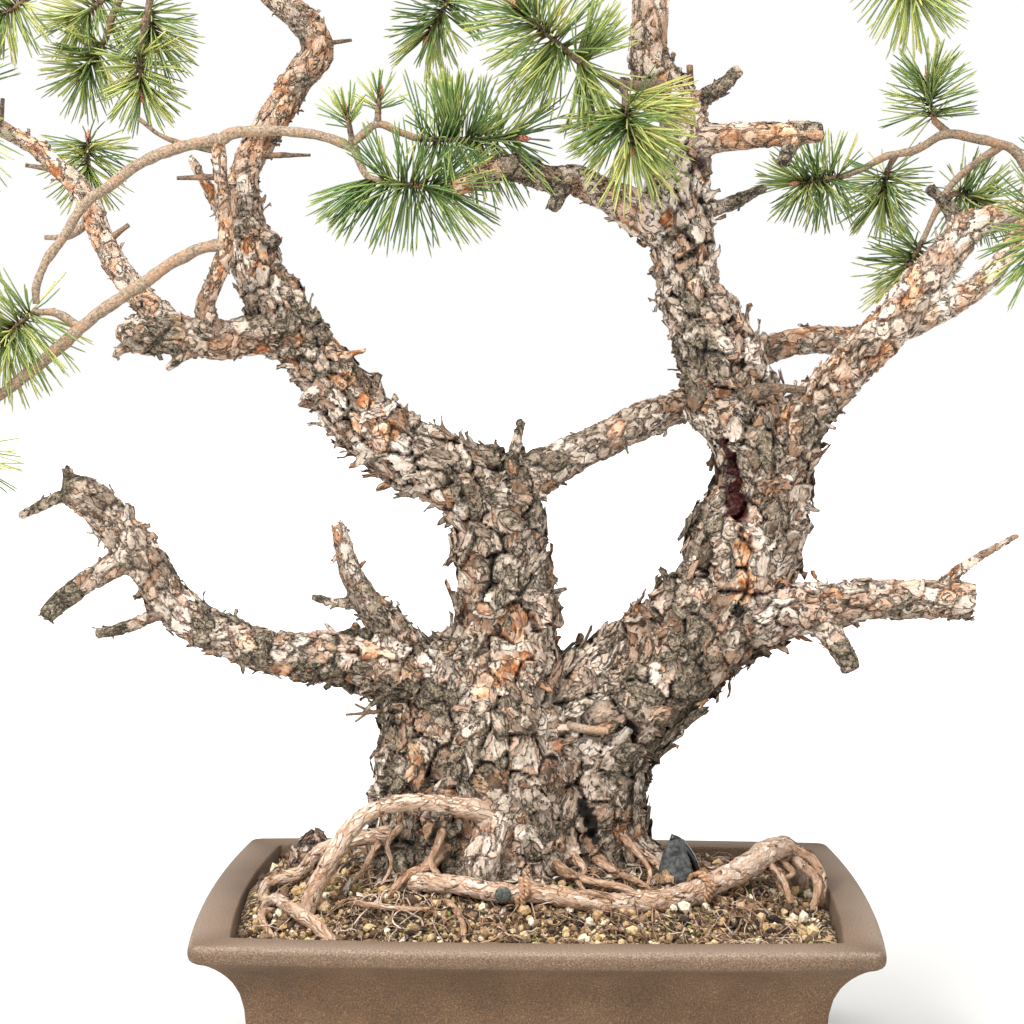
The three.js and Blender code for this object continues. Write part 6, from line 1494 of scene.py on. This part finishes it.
# needles that leave a spray together on one side: spray, start along its shoot, way, spread, count, tone
fans = [
    ("front_centre_low", -0.35, (0.97, -0.2, -0.12), 0.15, 34, 0.93),
    ("front_centre_low", 0.1, (-0.8, -0.2, -0.5), 0.3, 24, 0.5),
    ("front_centre_low", 0.2, (0.55, -0.3, -0.8), 0.25, 26, 0.75),
    ("front_centre_top", -0.25, (0.2, -0.3, -0.95), 0.35, 34, 0.6),
    ("front_centre_top", -0.2, (0.6, -0.3, 0.7), 0.3, 26, 0.6),
    ("front_centre_top", 0.2, (-0.6, -0.3, -0.75), 0.3, 26, 0.5),
    ("front_hanging", -0.2, (-0.75, -0.2, -0.6), 0.25, 26, 0.35),
    ("front_arch_end", 0.3, (-0.1, -0.1, 1), 0.2, 30, 0.5),
]
# some sprays are lighter and yellower, some darker: start of a spray's name, shift of tone
toneShifts = {"left_": 0.13, "top_": 0.12, "front_centre": 0.12, "front_arch": -0.06, "front_hanging": -0.08}


def seatPairs(name, base, before, axis, length, count, opening, draw):  # pairs of needles: start, way and tone
    pairs = round(count * needle["fullness"] / 2)
    share = np.sort(draw.uniform(0, 1, pairs) ** 0.9)
    lean = np.radians(opening[0] + (opening[1] - opening[0]) * share + draw.normal(0, 9, pairs))
    turn = np.arange(pairs) * goldenTurn + draw.normal(0, 0.35, pairs)
    side = unit(np.cross(axis, (0.21, 0.34, 0.91)))
    other = np.cross(axis, side)
    outward = np.cos(turn)[:, None] * side + np.sin(turn)[:, None] * other
    heading = np.cos(lean)[:, None] * axis + np.sin(lean)[:, None] * outward
    start = base + axis * (share * length * 0.97)[:, None] + outward * 1.1
    tone = draw.beta(2.2, 2.2, pairs) + sum(toneShifts[key] for key in toneShifts if name.startswith(key))
    for fanName, place, way, spread, number, fanTone in fans:
        if fanName == name:
            ways = unit(unit(np.array(way, float)) + draw.normal(0, spread, (number, 3)))
            heading = np.vstack([heading, ways])
            foot = base + (axis * length * place if place > 0 else before * length * place)
            start = np.vstack([start, foot + axis * draw.uniform(-3, 5, (number, 1)) + ways])
            tone = np.append(tone, fanTone + draw.normal(0, 0.07, number))
    return start, heading, tone


def growSpray(name, route, toward, length, count, reach, seed):
    draw = np.random.default_rng(seed)
    opening = openings.get(name, openings["young" if reach < 30 else "plain"])
    axis = unit(np.array(toward, float))
    route = np.array(route, float)
    before = unit(route[-1, :3] - route[-2, :3])
    base = route[-1, :3] + before * 1.2
    start, heading, tone = seatPairs(name, base, before, axis, length, count, opening, draw)
    pairs = len(heading)
    crosswise = unit(np.cross(heading, unit(draw.normal(size=(pairs, 3)))))
    spread = draw.uniform(0.4, 1.5, (pairs, 1)) * needle["pairSpread"]
    headings = unit(np.concatenate([heading + crosswise * spread, heading - crosswise * spread]))
    starts = np.concatenate([start, start])
    lengths = reach * draw.uniform(0.84, 1.03, pairs)
    lengths = np.concatenate([lengths, lengths * draw.uniform(0.94, 1.02, pairs)])
    points, faces, along = needleTubes(starts, headings, lengths, draw, needle["radius"])
    tone = np.clip(np.tile(tone, 2) + draw.normal(0, 0.07, pairs * 2), 0, 1)
    tone = np.repeat(tone, len(points) // len(tone))

    # the shoot they grow on, and its bud
    stem = [[*(base - before * 2), 2.0]]
    stem += [[*(base + axis * length * t), radius] for t, radius in ((0.3, 1.8), (0.7, 1.6), (1, 1.3))]
    stemPoints, stemFaces = tube(followRoute(stem, 1.6), 7, rough=0.24, seed=seed)
    bud = budPoints(base + axis * (length - 1), axis, 2.3, 9)
    cloud, allFaces, values = joinParts([
        (points, faces, {"needleTone": tone, "needleAlong": along, "twigAge": 0.0}),
        (stemPoints, stemFaces, {"needleTone": 0.0, "needleAlong": 0.0, "twigAge": -0.3}),
        (*bud, {"needleTone": 0.0, "needleAlong": 0.0, "twigAge": 0.0})])
    finish = [0] * len(faces) + [1] * len(stemFaces) + [2] * len(bud[1])
    piece = makePiece("needles_" + name, cloud, allFaces, [needleSkin, twigBark, budSkin], values,
                      faceFinish=finish)
    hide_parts("spray_" + name)
    return len(allFaces)


def makeSprays():
    total = 0
    for number, (name, twig, toward, length, count) in enumerate(sprays):
        route = limbRoutes.get(twig) or twigRoutes[twig]
        reach = needle["length"] * (0.78 if "back" in name else 1)
        total += growSpray(name, route, toward, length, count, reach, 200 + number)
    for number, (name, twig, toward, length, reach, count) in enumerate(youngSprays):
        total += growSpray(name, twigRoutes[twig], toward, length, count, reach, 300 + number)
    print("sprays:", len(sprays) + len(youngSprays), "faces:", total)


makeSprays()


ties = {
    "cord_tie_left": {"at": (-9, -92.6, 149.2), "along": (1, 0, 0), "radius": 8.4},
    "cord_tie_right": {"at": (104, -58, 144.8), "along": (0.78, 0.62, 0.12), "radius": 9.4},
}
cord = {"turns": 2, "twists": 17, "halfWidth": 3.0, "strand": 1.05, "aside": 0.95, "steps": 120}


def makeTies():  # two strands twisted round each other, wound round the root
    for name, tie in ties.items():
        axis = unit(np.array(tie["along"], float))
        side = unit(np.cross(axis, (0, 0, 1)))
        other = np.cross(axis, side)
        parts = []
        for strand in (0, math.pi):
            samples = []
            for i in range(cord["steps"] + 1):
                t = i / cord["steps"]
                wound = 2 * math.pi * cord["turns"] * t
                twist = strand + t * 2 * math.pi * cord["twists"]
                outward = math.cos(wound) * side + math.sin(wound) * other
                centre = np.array(tie["at"]) + axis * (cord["halfWidth"] * (2 * t - 1)) + outward * tie["radius"]
                centre = centre + cord["aside"] * (math.cos(twist) * outward + math.sin(twist) * axis)
                samples.append([*centre, cord["strand"]])
            parts.append((*tube(np.array(samples), 6), {}))
        points, faces, _ = joinParts(parts)
        piece = makePiece(name + "_strands", points, faces, [juteCord])
        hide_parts(name)


# a round head with a shank: radius and depth of each ring, from the front to the point
nail = {
    "at": (-21, -98.8, 149.5), "sides": 28,
    "profile": [(0, -2.0), (1.2, -2.0), (2.6, -1.8), (4.5, -1.7), (5.0, -1.4), (5.2, -0.9), (5.1, 0.1), (1.5, 0.3),
                (1.5, 10), (0, 12)],
}


def makeNail():
    turns = around(nail["sides"])
    rings = [np.stack([np.cos(turns) * radius, np.full(len(turns), depth), np.sin(turns) * radius], axis=1)
             for radius, depth in nail["profile"][1:-1]]
    ends = [(0, nail["profile"][0][1], 0), (0, nail["profile"][-1][1], 0)]
    points = np.vstack(rings + [ends]) + nail["at"]
    piece = makePiece("nailHead", points, loftFaces(len(rings), len(turns)), [nailSteel])
    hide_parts("nail")


stones = {
    "slate_wedge": {"at": (89, -44, 151), "size": (38, 14, 42), "lean": (0, 3), "taper": 0.3, "rounding": 0.16,
                    "lumps": 1.3, "layers": 1.0, "seed": 31},
    "bark_chunk": {"at": (-158, -4, 148), "size": (30, 20, 34), "lean": (8, 2), "taper": 0.6, "rounding": 0.34,
                   "lumps": 3.2, "layers": 2.5, "seed": 37, "chips": 150},
}
chunkBark = {"ledge": 0.5, "plateTone": 0.3, "crust": 0.1, "inner": 0.2, "creviceDarkAndShade": 0.1, "resin": 0.0,
             "plateEdge": 3.0}


def stoneSkin(name, finish, attributes=None):  # a rough block with split faces
    plan = stones[name]
    bm = bmesh.new()
    bmesh.ops.create_cube(bm, size=1)
    bmesh.ops.subdivide_edges(bm, edges=bm.edges[:], cuts=13, use_grid_fill=True)
    points, faces = fromBmesh(bm)
    height = points[:, 2] + 0.5
    rounding = 1 - plan["rounding"] * (abs(points[:, 0]) + abs(points[:, 1])) * (0.5 + height)
    width = (1 + (plan["taper"] - 1) * height) * rounding
    cloud = np.stack([points[:, 0] * plan["size"][0] * width + plan["lean"][0] * height,
                      points[:, 1] * plan["size"][1] * width + plan["lean"][1] * height,
                      points[:, 2] * plan["size"][2]], axis=1)
    out = unit(points)
    ragged = softNoise(cloud, 9, plan["seed"]) * plan["lumps"]
    ragged = ragged + softNoise(cloud * (1, 1, plan["layers"]), 4, plan["seed"] + 1)
    shift = random.Random(plan["seed"]).uniform(0, 0.1)
    cloud = cloud + out * ragged[:, None] + np.array(plan["at"]) + shift
    values = {}
    if attributes:  # the bark chunk carries loose chips
        values = {key: np.broadcast_to(value + 0.3 * cloud[:, 2] * (key == "ledge"), len(cloud))
                  for key, value in attributes.items()}
        values["barkPlace"] = cloud
        skin = {"points": cloud, "normals": out, "ways": np.tile((0.3, 0, 0.95), (len(cloud), 1)),
                "radii": np.full(len(cloud), 15.0), **values}
        draw = np.random.default_rng(plan["seed"])
        seats = draw.choice(len(cloud), plan["chips"], replace=False)
        chips = growChips(flakes["limbChips"], skin, draw, seats)
        cloud, faces, values = joinParts([(cloud, faces, values), chips])
    piece = makePiece(name + "_stone", cloud, faces, [finish], values, smooth=False)
    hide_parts(name)


shard = {
    "route": [[86, -34, 173, 1], [91, -34, 171, 1], [96, -34, 166, 1], [100.5, -34, 159, 1], [104, -34, 148, 1]],
    "half": 4.6, "thick": 2.2,
    "section": [(-1, -0.2), (-0.8, -1), (0, -1.1), (0.8, -1), (1, -0.2), (0.8, 0.8), (0, 1.0), (-0.8, 0.8)],
}


def makeShard():  # a thin curled splinter that leans over the slate
    samples = followRoute(shard["route"], 1.2)
    ways = unit(np.gradient(samples[:, :3], axis=0))
    rings = []
    for i, (sample, way) in enumerate(zip(samples, ways)):
        t = i / (len(samples) - 1)
        half = shard["half"] * (0.6 + 0.4 * math.sin(math.pi * min(1, t * 1.3)))
        normal = unit(np.cross(way, (0, 1, 0)))
        rings.append(np.array([sample[:3] + np.array([0, 1, 0]) * half * a + normal * shard["thick"] * b
                               for a, b in shard["section"]]))
    points, faces = solidFrom(rings)
    piece = makePiece("blackShard", points, faces, [obsidian])
    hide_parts("black_shard")


makeTies()
makeNail()
stoneSkin("slate_wedge", slateSplit)
stoneSkin("bark_chunk", pineBark, chunkBark)
makeShard()
print("small things made")


# each light: place and aim in metres, side in metres, watts
studio = {
    "worldLight": 1.0, "floorRadius": 14,
    "keyLight": ((-1.3, -1.9, 1.9), (0, 0, 0.4), 0.9, 84),
    "fillLight": ((1.8, -1.6, 1.2), (0, 0, 0.4), 1.2, 12),
    "topLight": ((-0.2, -0.5, 2.4), (0, 0, 0.3), 1.2, 64),
}


def makeFloor():  # white paper that fades into the background
    material, tree, shader = newMaterial("studioPaper")
    where = add(tree, "TexCoord", take="Object")
    away = add(tree, "VectorMath", {0: where}, operation="LENGTH")
    far = add(tree, "MapRange", {"Value": away, "From Min": 0.5, "From Max": 2.2})
    connect(tree, shader, {"Emission Strength": far, "Emission Color": (1, 1, 1, 1),
                           "Base Color": colour("#cfcecb"), "Roughness": 0.9})
    bm = bmesh.new()
    bmesh.ops.create_circle(bm, cap_ends=True, segments=96, radius=studio["floorRadius"])
    mesh = bpy.data.meshes.new("studioFloor")
    bm.to_mesh(mesh)
    bm.free()
    mesh.materials.append(material)
    floor = putInScene("studioFloor", mesh)


def makeLight(name):
    place, target, size, watts = studio[name]
    data = bpy.data.lights.new(name, "AREA")
    data.shape, data.size, data.energy = "SQUARE", size, watts
    lamp = putInScene(name, data)
    lamp.location = place
    lamp.rotation_euler = (Vector(target) - Vector(place)).to_track_quat("-Z", "Y").to_euler()


def makeStudio():
    makeFloor()
    for name in ("keyLight", "fillLight", "topLight"):
        makeLight(name)
    world = bpy.data.worlds.new("studioWorld")
    world.use_nodes = True
    connect(world.node_tree, world.node_tree.nodes["Background"],
            {"Color": (1, 1, 1, 1), "Strength": studio["worldLight"]})
    bpy.context.scene.world = world
    bpy.context.scene.view_settings.view_transform = "Standard"


makeStudio()
print("studio made")
